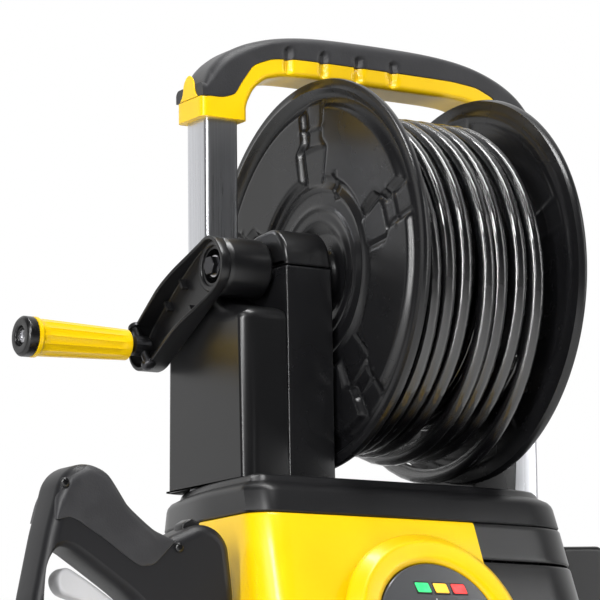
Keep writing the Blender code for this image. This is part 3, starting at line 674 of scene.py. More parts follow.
def wall(first, last, profile):
    """A casing wall: at each (inset, height) of a closed profile, the outline at that height."""
    columns = []
    for inset, z in profile:
        line = side_run(z, first, last)
        columns.append(np.column_stack([line - line_normals(line) * inset, np.full(len(line), z)]))
    points = np.stack(columns, 1)
    mesh = grid_mesh(points, wrap_u=False, wrap_v=True)
    work = bmesh.new()
    work.from_mesh(mesh)
    bmesh.ops.holes_fill(work, edges=[e for e in work.edges if e.is_boundary])
    work.to_mesh(mesh)
    work.free()
    return mesh


def wall_profile(z_low, z_high, soft=0.0022, thick=0.003):
    """Closed section of a moulded wall with softened outer edges."""
    heights = np.linspace(z_low + soft, z_high - soft, 12)
    turn = np.linspace(0, math.pi / 2, 5)
    outer = np.stack([np.zeros_like(heights), heights], -1)
    crown = np.stack([soft * (1 - np.cos(turn)), z_high - soft + soft * np.sin(turn)], -1)
    sill = np.stack([soft * (1 - np.sin(turn)), z_low + soft * (1 - np.cos(turn))], -1)
    inner = np.array([(thick, z_high), (thick, z_high - 0.02), (thick, z_low + 0.02), (thick, z_low)])
    return np.vstack([sill[:-1], outer, crown[1:], inner])


def build_casing():
    """Front cover, rear shell, and a right side whose upper part is a separate shoulder."""
    top = BAND_Z - 0.0004
    seam = top - SHOULDER
    runs = (("front_skin", 13, 17, SHELL_LOW, top, "yellow", "front_cover"),
            ("right_skin", 3, 7, SHELL_LOW, seam - 0.0006, "black", "right_side_panel"),
            ("right_shoulder_skin", 3, 7, seam + 0.0006, top, "black"),
            ("rear_skin", 7, 13, SHELL_LOW, top, "black", "rear_shell"))
    for name, first, last, z_low, z_high, look, *nodes in runs:
        mesh = wall(first, last, wall_profile(z_low, z_high))
        piece(name, mesh, look, *nodes)
    build_deck()
    build_base_skin()
    build_vents()


def closed_plan(z):
    return side_run(z, 0, 14)[:-1]


def plan_solid(profile):
    """A closed solid from (inset, height) rows of the casing outline, capped at both ends."""
    columns = []
    for inset, z in profile:
        line = closed_plan(z)
        columns.append(np.column_stack([line - outward(line) * inset, np.full(len(line), z)]))
    return grid_mesh(np.stack(columns, 1), caps=(True, True))


def build_deck():
    """Deck: a band round the casing, a crisp step, then a shallow domed top."""
    profile = [(0.004, BAND_Z), (0.0012, BAND_Z), (0.0, BAND_Z + 0.0012), (0.0002, BAND_Z + 0.015),
        (0.0008, BAND_Z + 0.0175), (0.0026, BAND_Z + 0.02), (0.007, DECK_Z - 0.0062),
        (0.009, DECK_Z - 0.0052), (0.01, DECK_Z - 0.002), (0.0115, DECK_Z - 0.0006), (0.014, DECK_Z),
        (0.03, DECK_Z)]
    piece("deck_skin", plan_solid(profile), "deck_black", "top_cover")
    for sign in (-1, 1):
        for back in (-0.03, 0.034):
            screw = (PART_X + sign * 0.045, PART_Y + back, DECK_Z)
            screw_head("deck_screw_%s%s" % ("l" if sign < 0 else "r", "a" if back < 0 else "b"), screw,
                0.0042, "Z")


def build_base_skin():
    base = low("base_frame")[2]
    top = high("base_frame")[2] - 0.0002
    profile = [(0.045, base), (0.02, base), (0.016, base + 0.0012), (0.0085, base + 0.006),
        (0.0035, base + 0.014), (0.0012, base + 0.026), (0.001, top - 0.012), (0.0012, top - 0.0032),
        (0.0022, top - 0.001), (0.004, top), (0.03, top)]
    piece("base_skin", plan_solid(profile), "black", "base_frame")


def build_vents():
    """Louvres on the back: a row of raised bars, each a rounded slab."""
    for row in range(LOUVRES):
        z = LOUVRE_LOW + row * LOUVRE_PITCH
        y = plan_at(z)[10][1]
        outline = rounded([(y - 0.0015, z - 0.0022), (y + 0.0028, z - 0.0034), (y + 0.0028, z - 0.0016),
            (y - 0.0015, z + 0.0026)], 0.0008, 4)
        bar = slab(outline, PART_X - 0.085, PART_X + 0.085, 0.0007)
        piece("rear_louvre_%d" % (row + 1), bar, "black")


# ---- Towers -----------------------------------------------------------------------------------
FOOT = DECK_Z - 0.0002 - REEL_Z                  # foot of the towers below the reel's centre
TOWER_LINES = {
    "outer_left": ([(0.0765, FOOT), (0.0755, -0.012), (0.066, 0.0115), (0.035, 0.0125),
                    (0.0245, 0.004), (0.0205, -0.015), (0.004, -0.0262), (-0.015, -0.029),
                    (-0.0325, -0.0345), (-0.0345, FOOT)],
                   [0.001, 0.01, 0.01, 0.006, 0.008, 0.008, 0.01, 0.008, 0.007, 0.001], 7),
    "outer_right": ([(0.0762, FOOT), (0.0757, -0.03), (0.07, -0.0115), (0.058, -0.0078),
                     (0.0541, -0.018), (0.0541, FOOT)], [0.001, 0.012, 0.006, 0.004, 0.004, 0.001], 6),
    "inner_left": ([(0.0725, FOOT), (0.0655, -0.06), (0.0365, -0.014), (0.0325, -0.0004),
                    (-0.0325, -0.0004), (-0.0335, -0.03), (-0.0345, FOOT)],
                   [0.001, 0.02, 0.012, 0.002, 0.002, 0.02, 0.001], 6),
    "inner_right": ([(0.0725, FOOT), (0.0655, -0.06), (0.0365, -0.014), (0.0325, -0.0004),
                     (-0.0325, -0.0004), (-0.0348, -0.075), (0.0038, -0.1152), (0.0078, FOOT)],
                    [0.001, 0.02, 0.012, 0.002, 0.002, 0.012, 0.012, 0.001], 6),
    "cap": ([(-0.0325, 0.0003), (0.0325, 0.0003), (0.0305, 0.0135), (0.0165, 0.0265),
             (-0.0165, 0.0292), (-0.0295, 0.0165)], [0.0015, 0.0015, 0.008, 0.01, 0.01, 0.008], 7),
}


def tower_line(key):
    points, radii, count = TOWER_LINES[key]
    return rounded(np.array(points) + (PART_Y, REEL_Z), radii, count)


def build_towers():
    """Each tower: a shell rounded on its outer edge, a core, a bearing cap and a collar."""
    for side, sign in (("left", -1), ("right", 1)):
        node = "tower_%s_outer" % side
        near, far = sorted((low(node)[0], high(node)[0]), key=lambda x: abs(x - PART_X))
        crisp, soft = edge_profile(near, far, 0.0012, 3), edge_profile(near, far, 0.0135, 9)
        profile = np.vstack([crisp[:len(crisp) // 2], soft[len(soft) // 2:]])
        shell = carried(tower_line("outer_" + side), profile)
        piece("tower_%s_shell" % side, shell, "black", node)
        node = "tower_%s_inner" % side
        core = slab(tower_line("inner_" + side), low(node)[0], high(node)[0], 0.0016)
        piece("tower_%s_core" % side, core, "charcoal", node)
        node = "bearing_cap_" + side
        cap = piece(node + "_skin", slab(tower_line("cap"), low(node)[0], high(node)[0], 0.003),
            "black", node)
        spot = np.array([middle(node)[0], PART_Y - 0.001, REEL_Z + 0.0265])
        cut_with(cap, turned([(0, -0.006), (0.0052, -0.006), (0.0052, 0.02), (0, 0.02)], spot, "Z", 32))
        screw_head("cap_screw_" + side, spot - (0, 0, 0.0059), 0.0046, "Z")
        collar = [(0.0086, 0.0), (0.0205, 0.0), (0.0205, 0.0028), (0.0185, 0.0042), (0.012, 0.0048),
            (0.0086, 0.004)]
        drawn = [(r, -sign * (h - 0.001)) for r, h in collar]
        centre = (PART_X + sign * 0.074, PART_Y, REEL_Z)
        piece("bearing_collar_" + side, turned(drawn, centre), "charcoal")


# ---- Reel -------------------------------------------------------------------------------------
def flange_relief(radius, angle, count):
    """Height of a flange's outer face: rolled rim, embossed panels, spoke ribs and dished hub."""
    pitch = TAU / count
    turn = (angle - math.pi / 2 + pitch / 2) % pitch - pitch / 2       # angle from nearest spoke
    panel_turn = pitch / 2 - np.abs(turn)                              # angle from panel centre
    width = 0.44 + 0.085 * smooth(radius, 0.094, 0.103)
    reach = np.minimum(np.minimum(radius - 0.072, 0.127 - radius), radius * (width - panel_turn))
    panel = 0.0032 * smooth(reach, 0.0, 0.0042)
    groove = -0.0012 * bell(reach, -0.0016, 0.0016)
    rim = 0.0036 * smooth(radius, 0.1335, 0.1385) - 0.0018 * bell(radius, 0.1315, 0.0016)
    rim = rim + 0.0014 * bell(radius, 0.1375, 0.0016)
    window = smooth(0.17 - np.abs(turn), 0.0, 0.05)
    ribs = 0.0014 * window * (bell(radius, 0.096, 0.0013) + bell(radius, 0.1105, 0.0013))
    ring = 0.0022 * bell(radius, 0.0645, 0.0018) + 0.0012 * bell(radius, 0.05, 0.0016)
    hub = -0.005 * (1 - smooth(radius, 0.03, 0.042)) + 0.0045 * (1 - smooth(radius, 0.017, 0.022))
    x, z = radius * np.cos(angle), radius * np.sin(angle)
    hole = np.hypot(x + 0.047, z - 0.03)
    slot_a = np.maximum(np.abs(x - 0.03) - 0.0025, np.abs(z - 0.062) - 0.009)
    drilled = -0.0034 * (1 - smooth(hole, 0.0058, 0.0068))
    slotted = -0.002 * (1 - smooth(slot_a, 0.0, 0.0012))
    return panel + groove + rim + ribs + ring + hub + drilled + slotted


def build_flanges():
    """Each flange: the relief over (radius, angle) outside, an echo of it inside, closed rim."""
    steps, rows = 420, 98
    angle = around(steps)
    radius = np.linspace(0.009, FLANGE_R - 0.0016, rows)[None, :] * np.ones_like(angle)
    lip_r = np.tile(FLANGE_R - np.array([0.0006, 0.0, 0.0006]), (steps, 1))
    for side, sign in (("left", -1), ("right", 1)):
        turn = math.pi - angle if sign < 0 else angle
        relief = flange_relief(radius, turn, sizes().spoke_count)
        base = sign * FLANGE_X
        outer = base + sign * (relief - 0.0005)
        echo = 0.35 * (np.minimum(relief, 0.0034) - 0.0018 * (relief > 0.0015))
        inner = base + sign * (echo - 0.0042)
        lip_x = np.tile(base + sign * np.array([0.003, 0.0014, -0.0016]), (steps, 1))
        mesh = disc(HUB, angle, [(radius, outer), (lip_r, lip_x), (radius[:, ::-1], inner[:, ::-1])])
        node = "reel_flange_" + side
        piece(node + "_skin", mesh, "charcoal", node, body="reel", angle=60.0)


def hose_route():
    """Centre line of the wound hose.

    An even helix on the drum, then a looser one whose radius swells towards the bottom,
    r = r1 + sag * (1 - sin(angle)) / 2, and whose last quarter turn rises to the connector.
    """
    size = sizes()
    half = size.hose_diameter / 2
    plug = middle("hose_connector")
    entry_z = low("hose_connector")[2] - REEL_Z
    reach = plug[1] - PART_Y
    end_angle = math.atan2(entry_z, reach)
    first_r = DRUM_R + half + 0.001
    span = (FLANGE_X - 0.0065 - half) * 2
    per_turn = 56
    turns = size.outer_turns + end_angle / TAU
    k = np.linspace(0, turns, int(turns * per_turn) + 1)
    last_x = plug[0] - PART_X
    ends = smooth(k, 0.3, 1.3) * (1 - smooth(k, turns - 1.2, turns - 0.4))
    wander = 0.002 * np.sin(k * 3.9) * ends
    x_out = -span / 2 + (last_x + span / 2) * k / turns + wander
    angle_out = TAU * k
    loose = 0.0085 + 0.0028 * np.sin(k * 1.9 + 0.7) + 0.0035 * smooth(k, 2.0, turns - 0.5)
    lift = smooth(k, 0.0, 0.55)
    r_out = first_r + (size.hose_diameter + 0.003 + loose * (1 - np.sin(angle_out)) / 2) * lift
    rise = smooth(k, turns - 0.42, turns)
    r_out = r_out * (1 - rise) + math.hypot(reach, entry_z) * rise
    outer = np.stack([x_out, r_out * np.cos(angle_out), r_out * np.sin(angle_out)], -1)
    turns_in = (size.hose_length - run_of(outer)[-1]) / (TAU * first_r)
    back = np.linspace(-turns_in, 0, int(turns_in * per_turn) + 1)[:-1]
    x_in = -span / 2 - (span * 0.985) * back / turns_in
    inner = np.stack([x_in, first_r * np.cos(TAU * back), first_r * np.sin(TAU * back)], -1)
    return np.concatenate([inner, outer]) + HUB


def tube_mesh(path, radius, sides=14):
    """A round tube along a path: a circle in the plane across the path, ends closed."""
    step = np.gradient(path, axis=0)
    step /= np.linalg.norm(step, axis=1, keepdims=True)
    hub = np.array([0.0, PART_Y, REEL_Z])
    spoke = path - hub
    spoke[:, 0] = 0.0
    side = np.cross(step, spoke)
    side /= np.linalg.norm(side, axis=1, keepdims=True)
    up = np.cross(side, step)
    turn = np.linspace(0, TAU, sides, endpoint=False)
    ring = (side[None] * np.cos(turn)[:, None, None] + up[None] * np.sin(turn)[:, None, None])
    points = path[None] + ring * radius
    uv = np.stack(np.broadcast_arrays(run_of(path)[None, :], turn[:, None]), -1)
    return grid_mesh(points, caps=(True, True), uv=uv)


def build_hose():
    size = sizes()
    path = hose_route()
    mesh = tube_mesh(path, size.hose_diameter / 2)
    mesh.shade_smooth()
    mesh.name = "wound_hose"
    hose = in_scene("wound_hose", mesh)
    mesh.materials.append(finish("hose"))
    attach(hose, "reel")
    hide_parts("hose_pack")


def build_reel():
    build_flanges()
    half = FLANGE_X - 0.0045
    r = DRUM_R
    profile = filleted([(r - 0.003, -half), (r, -half), (r, half), (r - 0.003, half)], 0.0006, 3,
        closed=True)
    piece("drum_skin", turned(profile, HUB, steps=96), "charcoal", "reel_drum", body="reel",
        slot="black_plastic")


# ---- Crank ------------------------------------------------------------------------------------
def arm_frame():
    """Axle centre, unit directions along and across the arm, and its outward lean."""
    offset = np.array([0.0, PIVOT[1] - PART_Y, PIVOT[2] - REEL_Z])
    length = float(np.linalg.norm(offset))
    along = offset / length
    across = np.array([0.0, -along[2], along[1]])
    back = high("crank_arm")[0]
    lean = (PIVOT[0] + 0.0165 - back) / length
    return np.array([back, PART_Y, REEL_Z]), along, across, lean


def arm_points(flat, depth):
    """Places (along, across) at a depth outwards from the arm's leaning back."""
    origin, along, across, lean = arm_frame()
    s = flat[..., :1]
    outwards = np.array([1.0, 0, 0]) * (lean * np.maximum(s, 0) - depth[..., None])
    return origin + along * s + across * flat[..., 1:2] + outwards


ARM_FLOOR = 0.0034                               # thickness of the floor of the arm


def build_arm():
    """Arm: a rounded outline whose section climbs the wall, rolls over the lip and floors inside."""
    rear = [(-0.02, 0.0085), (-0.012, 0.0195), (0.004, 0.0228), (0.028, 0.0238), (0.055, 0.0222),
        (0.09, 0.019), (0.103, 0.0125), (0.107, 0.004)]
    under = [(-0.02, 0.0085), (-0.012, 0.0195), (0.006, 0.0218), (0.05, 0.0196), (0.092, 0.0185),
        (0.103, 0.0125), (0.107, 0.004)]
    outline = np.array(rear + [(s, -w) for s, w in reversed(under)])
    outline = resampled(rounded(outline, 0.01, 6), 150)
    section = filleted([(0.004, 0.0), (0.0, 0.0004), (0.0, 0.0172), (0.0026, 0.0172), (0.003, 0.0034),
        (0.008, 0.003)], 0.0009, 4)
    flat, depth = inset_rows(outline, section)
    height = 0.35 + 0.65 * smooth(flat[..., 0], -0.004, 0.055)
    depth = np.where(depth > ARM_FLOOR, ARM_FLOOR + (depth - ARM_FLOOR) * height, depth)
    mesh = grid_mesh(arm_points(flat, depth), caps=(True, True))
    arm = piece("crank_arm_skin", mesh, "black", "crank_arm", body="reel")
    mouth = [(0, -0.0185), (0.0125, -0.0185), (0.0125, 0.004), (0, 0.004)]
    cut_with(arm, turned(mouth, arm_frame()[0]))
    for k, (s, side) in enumerate(((0.034, 1), (0.034, -1), (0.058, 1), (0.058, -1))):
        rib = [(s - 0.0012, side * 0.0168), (s + 0.0012, side * 0.0168), (s + 0.0012, side * 0.0085),
            (s - 0.0012, side * 0.0085)]
        flat, depth = inset_rows(rounded(rib, 0.0004, 3), edge_profile(0.003, 0.0085, 0.0004, 3))
        piece("crank_rib_%d" % (k + 1), grid_mesh(arm_points(flat, depth), caps=(True, True)), "black",
            body="reel")


def build_crank():
    build_arm()
    edge = low("crank_boss")[0] - PART_X
    inner = high("crank_boss")[0] - PART_X
    rim = edge - 0.0055
    profile = filleted([(0.0126, edge + 0.005), (0.0146, rim), (0.0186, rim), (0.0213, edge + 0.002),
        (0.0215, inner - 0.002), (0.0195, inner), (0.0126, inner)], 0.0011, 4, True)
    piece("crank_boss_skin", turned(profile, HUB, steps=72), "black", "crank_boss", body="reel")
    # Axle nut: its dark steel colour is painted shade. It darkens the bore of the boss where the bright
    # axle end would show.
    nut = rounded(arc((PART_Y, REEL_Z), 0.0072, 0, 300, 6), 0.0006, 3)
    far = low("reel_axle")[0] - 0.0005
    piece("axle_nut_painted_shade", slab(nut, far + 0.003, far - 0.0045, 0.0006), "dark_steel_and_shade", body="reel")
    across = arm_frame()[2]
    for k, side in enumerate((1, -1)):
        cap = dome(PIVOT + across * side * 0.0186, across * side, 0.0052, 0.0026)
        piece("pivot_cap_%d" % (k + 1), cap, "dark_steel_and_shade", body="reel")
    build_grip()


def dome(base, direction, radius, height):
    """A low cap along a direction: circles of radius * sqrt(1 - t * t) at height * t."""
    direction = direction / np.linalg.norm(direction)
    side = np.cross(direction, [1.0, 0.0, 0.0])
    side /= np.linalg.norm(side)
    up = np.cross(direction, side)
    t = np.linspace(0, 1, 8)
    radii = np.concatenate([[radius * 0.999], radius * np.sqrt(np.maximum(1 - t ** 2, 0.0))])
    lifts = np.concatenate([[-0.002], height * t])
    turn = np.linspace(0, TAU, 28, endpoint=False)
    ring = side * np.cos(turn)[:, None] + up * np.sin(turn)[:, None]
    points = base + ring[:, None, :] * radii[None, :, None] + direction * lifts[None, :, None]
    return grid_mesh(points, caps=(True, False))


def build_grip():
    """Grip: a slim cone with rounded flutes, swelling to a collar at its outer end."""
    count = sizes().flute_count
    start = high("crank_grip")[0] - PIVOT[0]
    end = low("crank_grip")[0] - PIVOT[0]

    def flutes(angle, along):
        collar = smooth(along, end + 0.004, end + 0.01)
        fade = collar * smooth(-along, -start + 0.004, -start + 0.009)
        return 1 - 0.055 * fade * np.abs(np.sin(angle * count / 2)) ** 0.7

    x = np.linspace(start - 0.001, end + 0.004, 36)
    taper = 0.0112 + 0.0026 * (start - x) / (start - end)
    body = np.stack([taper, x], -1)
    profile = np.vstack([[(0.005, start)], [(0.01, start)], body,
        [(0.0147, end + 0.003), (0.0147, end + 0.0004), (0.014, end), (0.005, end)]])
    piece("crank_grip_skin", turned(profile, PIVOT, steps=count * 12, ripple=flutes), "yellow",
        "crank_grip", body="crank_handle")
    near = high("crank_grip_cap")[0] - PIVOT[0]
    far = low("crank_grip_cap")[0] - PIVOT[0]
    cap = filleted([(0.0, near), (0.0146, near), (0.0147, far + 0.002), (0.0128, far), (0.0075, far),
        (0.007, far + 0.003), (0.0, far + 0.003)], 0.0008, 4)
    piece("grip_cap_skin", turned(cap, PIVOT), "black", "crank_grip_cap", body="crank_handle",
        slot="dark_grey_plastic")
    spot = PIVOT + (far + 0.0034, 0, 0)
    screw_head("grip_screw", spot, 0.0052, "X", -1, "crank_handle")


# ---- Handle -----------------------------------------------------------------------------------
def whole(right):
    """A line from the left end to the right end, from its right half, drawn from the middle."""
    right = np.asarray(right, float)
    return np.vstack([right[::-1] * (-1, 1), right[1:]]) + (PART_X, SLEEVE_Z)


def paired(line, count):
    """Points spaced evenly between the corners of a line, count on each of its sides."""
    line = np.asarray(line, float)
    t = np.linspace(0, 1, count, endpoint=False)[:, None]
    sides = [a + (b - a) * t for a, b in zip(line, line[1:])]
    return np.vstack([*sides, line[-1:]])


def softened(line, rounds=6):
    """Average each inner point with its neighbours to round off the corners of a line."""
    for _ in range(rounds):
        line = np.vstack([line[:1], (line[:-2] + 2 * line[1:-1] + line[2:]) / 4, line[-1:]])
    return line


def band(upper, lower, front, back, over, under, dents=()):
    """A bar between two lines, from front to back: at station t and place v of its section,

    lower(t) + (upper(t) - lower(t)) * s(v) at depth y(v), where (s, y) runs round a rectangle
    with corners of radius over(t) and under(t); dents are grooves (x, z, half length) in it.
    """
    gap = upper - lower
    height = np.linalg.norm(gap, axis=1)
    over = np.minimum(over, 0.45 * height)
    under = np.minimum(under, 0.45 * height)
    turn = np.linspace(0, math.pi / 2, 6)[:, None]
    rise, run = 1 - np.sin(turn), 1 - np.cos(turn)
    flat = np.linspace(0, 1, 9)[1:-1, None]
    side = under + (height - over - under) * flat
    top = front + over + (back - front - 2 * over) * flat
    base = front + under + (back - front - 2 * under) * flat
    crown, sill = height - over * rise, under * rise
    rows = [(side, front), (crown, front + over * run), (height, top),
        (crown[::-1], back - over * run[::-1]), (side[::-1], back), (sill, back - under * run),
        (0.0, base[::-1]), (sill[::-1], front + under * run[::-1])]
    share, depth = (np.concatenate(part) for part in zip(*(np.broadcast_arrays(*r) for r in rows)))
    share = share / height
    spot = lower[None] + gap[None] * share[..., None]
    mask = np.zeros(depth.shape)
    for x, z, half in dents:
        away = np.hypot(spot[..., 0] - x, np.maximum(np.abs(spot[..., 1] - z) - half, 0))
        mask = np.maximum(mask, 1 - smooth(away, 0.0012, 0.0042))
    side = np.clip((depth - (front + back) / 2) / ((back - front) / 2), -1, 1)
    depth = depth - 0.0034 * mask * np.sign(side) * smooth(np.abs(side), 0.5, 0.9)
    points = np.stack([spot[..., 0], depth, spot[..., 1]], -1)
    return grid_mesh(points, caps=(True, True))


def build_handle():
    half_width = high("handle_bar")[0] - PART_X
    front, back = low("handle_bar")[1], high("handle_bar")[1]
    line = np.array([(0.0, 0.0515), (0.04, 0.0515), (0.07, 0.0512), (0.092, 0.049), (0.108, 0.0425),
        (0.117, 0.03), (0.124, 0.0185), (0.133, 0.0155), (0.138, 0.015), (0.143, 0.015),
        (0.1475, 0.015), (half_width, 0.015)])
    below = np.array([(0.0, 0.0385), (0.035, 0.0385), (0.062, 0.0385), (0.08, 0.0378), (0.096, 0.034),
        (0.1065, 0.025), (0.1115, 0.015), (0.1128, 0.0105), (0.113, 0.008), (0.113, 0.0065),
        (0.113, 0.005), (0.113, 0.004)])
    line_fine = softened(paired(line, 16), 12)
    upper = whole(np.vstack([line_fine, paired([(half_width, 0.015), (half_width, 0.0)], 16)[1:]]))
    lower = whole(np.vstack([softened(paired(below, 16), 30), paired([(0.113, 0.004), (0.113, 0.0)],
        16)[1:]]))
    dents = [(PART_X - 0.0775 + 0.031 * k, SLEEVE_Z + 0.05, 0.0068) for k in range(4)]
    last = np.concatenate([smooth(np.arange(len(line_fine)), 150, 172), np.ones(16)])
    over = 0.0005 + 0.0037 * last
    over = np.concatenate([over[::-1], over[1:]])
    piece("handle_bar_skin", band(upper, lower, front, back, over, 0.0042, dents), "yellow",
        "handle_bar", body="handle")
    rise = high("handle_overmould")[2] - SLEEVE_Z
    t = np.linspace(0, 1, len(line_fine))
    x = half_width * np.sin(math.pi / 2 * t ** 0.9)
    z = rise * np.maximum(1 - (x / half_width) ** 3.0, 0) ** (1 / 2.6)
    top = np.stack([x, np.maximum(z, 0.025)], -1)
    rubber_low = line_fine + (0, 0.0002)
    pad = band(whole(top), whole(rubber_low), front - 0.0006, back + 0.0006, 0.0095, 0.0005, dents)
    piece("handle_rubber", pad, "rubber", "handle_overmould", body="handle")
    mid = (front + back) / 2
    tongue = rounded([(mid - 0.0125, SLEEVE_Z + 0.0152), (mid - 0.0085, SLEEVE_Z + 0.02),
        (mid - 0.0075, SLEEVE_Z + 0.0285), (mid, SLEEVE_Z + 0.0345), (mid + 0.0075, SLEEVE_Z + 0.0285),
        (mid + 0.0085, SLEEVE_Z + 0.02), (mid + 0.0125, SLEEVE_Z + 0.0152)],
        [0.0005, 0.004, 0.005, 0.006, 0.005, 0.004, 0.0005], 6)
    for side, sign in (("left", -1), ("right", 1)):
        face = PART_X + sign * half_width
        tip = slab(tongue, face - sign * 0.0005, face + sign * 0.0009, 0.0007)
        piece("handle_tongue_" + side, tip, "yellow", body="handle")
    for side in ("left", "right"):
        node = "handle_tube_" + side
        a, b = low(node), high(node)
        outline = rounded([(a[0], a[1]), (b[0], a[1]), (b[0], b[1]), (a[0], b[1])], 0.0042, 7)
        profile = [(0.0018, a[2]), (0.0, a[2] + 0.0004), (0.0, b[2] - 0.001), (0.0018, b[2] - 0.0006)]
        piece(node + "_skin", carried(outline, profile, "Z"), "tube", node, body="handle")


# ---- Trigger gun ------------------------------------------------------------------------------
GUN_ORIGIN = np.array([PART_X, REEL_Z])          # what the gun's lines are measured from
GUN_HALF = 0.0185                                # half the thickness of the gun


def gun_outline():
    """Outer line of the gun: hand hump, saddle, barrel hump, body, and the guard's outer bow."""
    return np.vstack([arc((-0.297, -0.181), 0.0226, 172, 25, 12),
        [(-0.2725, -0.179), (-0.27, -0.1835), (-0.2385, -0.2065)],
        arc((-0.208, -0.216), 0.0212, 122, 15, 8), [(-0.1838, -0.242), (-0.1832, -0.372),
        (-0.186, -0.38), (-0.22, -0.38), (-0.2255, -0.368)], arc((-0.262, -0.3), 0.0702, -62, -128, 12),
        [(-0.33, -0.315), (-0.3352, -0.285), (-0.3366, -0.25), (-0.3268, -0.205)]])


def gun_loop():
    return np.array([(-0.3285, -0.247), (-0.3265, -0.226), (-0.319, -0.2145), (-0.3086, -0.2154),
        (-0.2898, -0.2273), (-0.262, -0.2455), (-0.24, -0.266), (-0.236, -0.3), (-0.242, -0.335),
        (-0.262, -0.352), (-0.292, -0.345), (-0.318, -0.322), (-0.3285, -0.285)])


def build_gun():
    """Gun shells: rings that run from the outer line to the finger loop over rounded edges."""
    body = rounded(gun_outline() + GUN_ORIGIN, 0.0045, 5)
    hole = rounded(gun_loop() + GUN_ORIGIN, 0.01, 6)
    front, back = GUN_Y - GUN_HALF, GUN_Y + GUN_HALF
    shell = slab(resampled(body, 420), front, back, 0.0085, "Y", 8)
    gun = piece("gun_shells", shell, "gun", "gun_shell_front", "gun_shell_back", body="gun")
    flare = [(-0.006, front - 0.002), (-0.003, front + 0.0006), (-0.001, front + 0.003),
        (0.0, front + 0.0065), (0.0, back - 0.0065), (-0.001, back - 0.003), (-0.003, back - 0.0006),
        (-0.006, back + 0.002)]
    cut_with(gun, carried(resampled(hole, 200), flare, "Y"))
    build_gun_details()
    build_barrel()


def build_gun_details():
    ridge = softened(paired([(-0.3222, -0.1965), (-0.32, -0.18), (-0.311, -0.164), (-0.296, -0.1578),
        (-0.282, -0.1625), (-0.2735, -0.1745), (-0.268, -0.1835), (-0.25, -0.1975), (-0.233, -0.2075)],
        14), 24)
    skirt = softened(paired([(-0.32, -0.197), (-0.312, -0.195), (-0.305, -0.1975), (-0.295, -0.2035),
        (-0.285, -0.209), (-0.272, -0.218), (-0.259, -0.226), (-0.248, -0.2245), (-0.232, -0.208)], 14),
        16)
    pad = band(ridge + GUN_ORIGIN, skirt + GUN_ORIGIN, GUN_Y - 0.0194, GUN_Y + 0.0194, 0.0085, 0.0008)
    piece("gun_grip_pad", pad, "rubber", body="gun")
    blade = [(-0.224, -0.262), (-0.235, -0.25), (-0.262, -0.2545), (-0.2898, -0.2365),
        (-0.3086, -0.226), (-0.317, -0.234), (-0.313, -0.245), (-0.295, -0.25), (-0.262, -0.269),
        (-0.236, -0.274), (-0.224, -0.272)]
    outline = resampled(rounded(np.array(blade) + GUN_ORIGIN, 0.006, 5), 160)
    mesh = slab(outline, GUN_Y - 0.0074, GUN_Y + 0.0074, 0.003, "Y", 6)
    piece("trigger_skin", mesh, "trigger", "gun_trigger", body="trigger")
    a, b = low("gun_safety_latch"), high("gun_safety_latch")
    outline = rounded([(a[0], a[2]), (b[0], a[2]), (b[0], b[2] - 0.003), ((a[0] + b[0]) / 2, b[2]),
        (a[0], b[2] - 0.004)], 0.0022, 5)
    mesh = slab(outline, a[1], b[1], 0.0014, "Y")
    piece("latch_skin", mesh, "black", "gun_safety_latch", body="latch")
    spots = ((-0.3158, -0.1725), (-0.229, -0.212), (-0.196, -0.35), (-0.215, -0.29))
    for k, (x, height) in enumerate(spots):
        screw_head("gun_screw_%d" % (k + 1), (PART_X + x, GUN_Y - 0.0184, REEL_Z + height), 0.0034, "Y",
            -1, "gun", "black")


def build_barrel():
    """Barrel with its knurled collar, and the holster that it stands in."""
    centre = (PART_X - 0.203, GUN_Y, 0.0)
    top = high("gun_barrel")[2] - 0.078
    bottom = low("gun_barrel")[2]
    barrel = filleted([(0.0, bottom), (0.004, bottom), (0.0088, bottom + 0.008), (0.0089, top - 0.018),
        (0.0143, top - 0.015), (0.0144, top - 0.0035), (0.012, top - 0.001), (0.0, top - 0.001)], 0.001,
        4)

    def knurl(angle, along):
        ring = smooth(along, top - 0.0145, top - 0.013)
        band = ring * (1 - smooth(along, top - 0.005, top - 0.004))
        return 1 - 0.03 * band * (0.5 + 0.5 * np.cos(angle * 24))

    mesh = turned(barrel, centre, "Z", 144, knurl)
    piece("barrel_skin", mesh, "black", "gun_barrel", body="gun")
    low_z, high_z = low("gun_holster")[2], high("gun_holster")[2]
    cup = filleted([(0.0127, low_z), (0.017, low_z), (0.0178, high_z - 0.003), (0.0178, high_z),
        (0.0154, high_z)], 0.001, 4, True)
    mesh = turned(cup, centre, "Z", 64)
    piece("holster_skin", mesh, "black", "gun_holster")
    for k, height in enumerate((low_z + 0.018, high_z - 0.022)):
        wall_x = plan_at(max(height, 0.1))[13][0]
        outline = rounded([(wall_x + 0.004, GUN_Y - 0.014), (wall_x + 0.004, GUN_Y + 0.014),
            (centre[0] + 0.012, GUN_Y + 0.01), (centre[0] + 0.012, GUN_Y - 0.01)], 0.002, 4)
        strap = slab(outline, height - 0.006, height + 0.006, 0.0015, "Z")
        piece("holster_strap_%d" % (k + 1), strap, "black")


# ---- Controls ---------------------------------------------------------------------------------
PANEL_LEAN = math.radians(18.3)
PANEL_RIGHT = np.array([1.0, 0.0, 0.0])
PANEL_UP = np.array([0.0, math.sin(PANEL_LEAN), math.cos(PANEL_LEAN)])
PANEL_OUT = np.array([0.0, -math.cos(PANEL_LEAN), math.sin(PANEL_LEAN)])
PANEL_FOOT = middle("display_panel") - PANEL_OUT * 0.00635


def on_panel(x, y, lift):
    """Places right, up and out from the foot of the leaning control panel."""
    x, y, lift = (values[..., None] for values in np.broadcast_arrays(x, y, lift))
    return PANEL_FOOT + PANEL_RIGHT * x + PANEL_UP * y + PANEL_OUT * lift


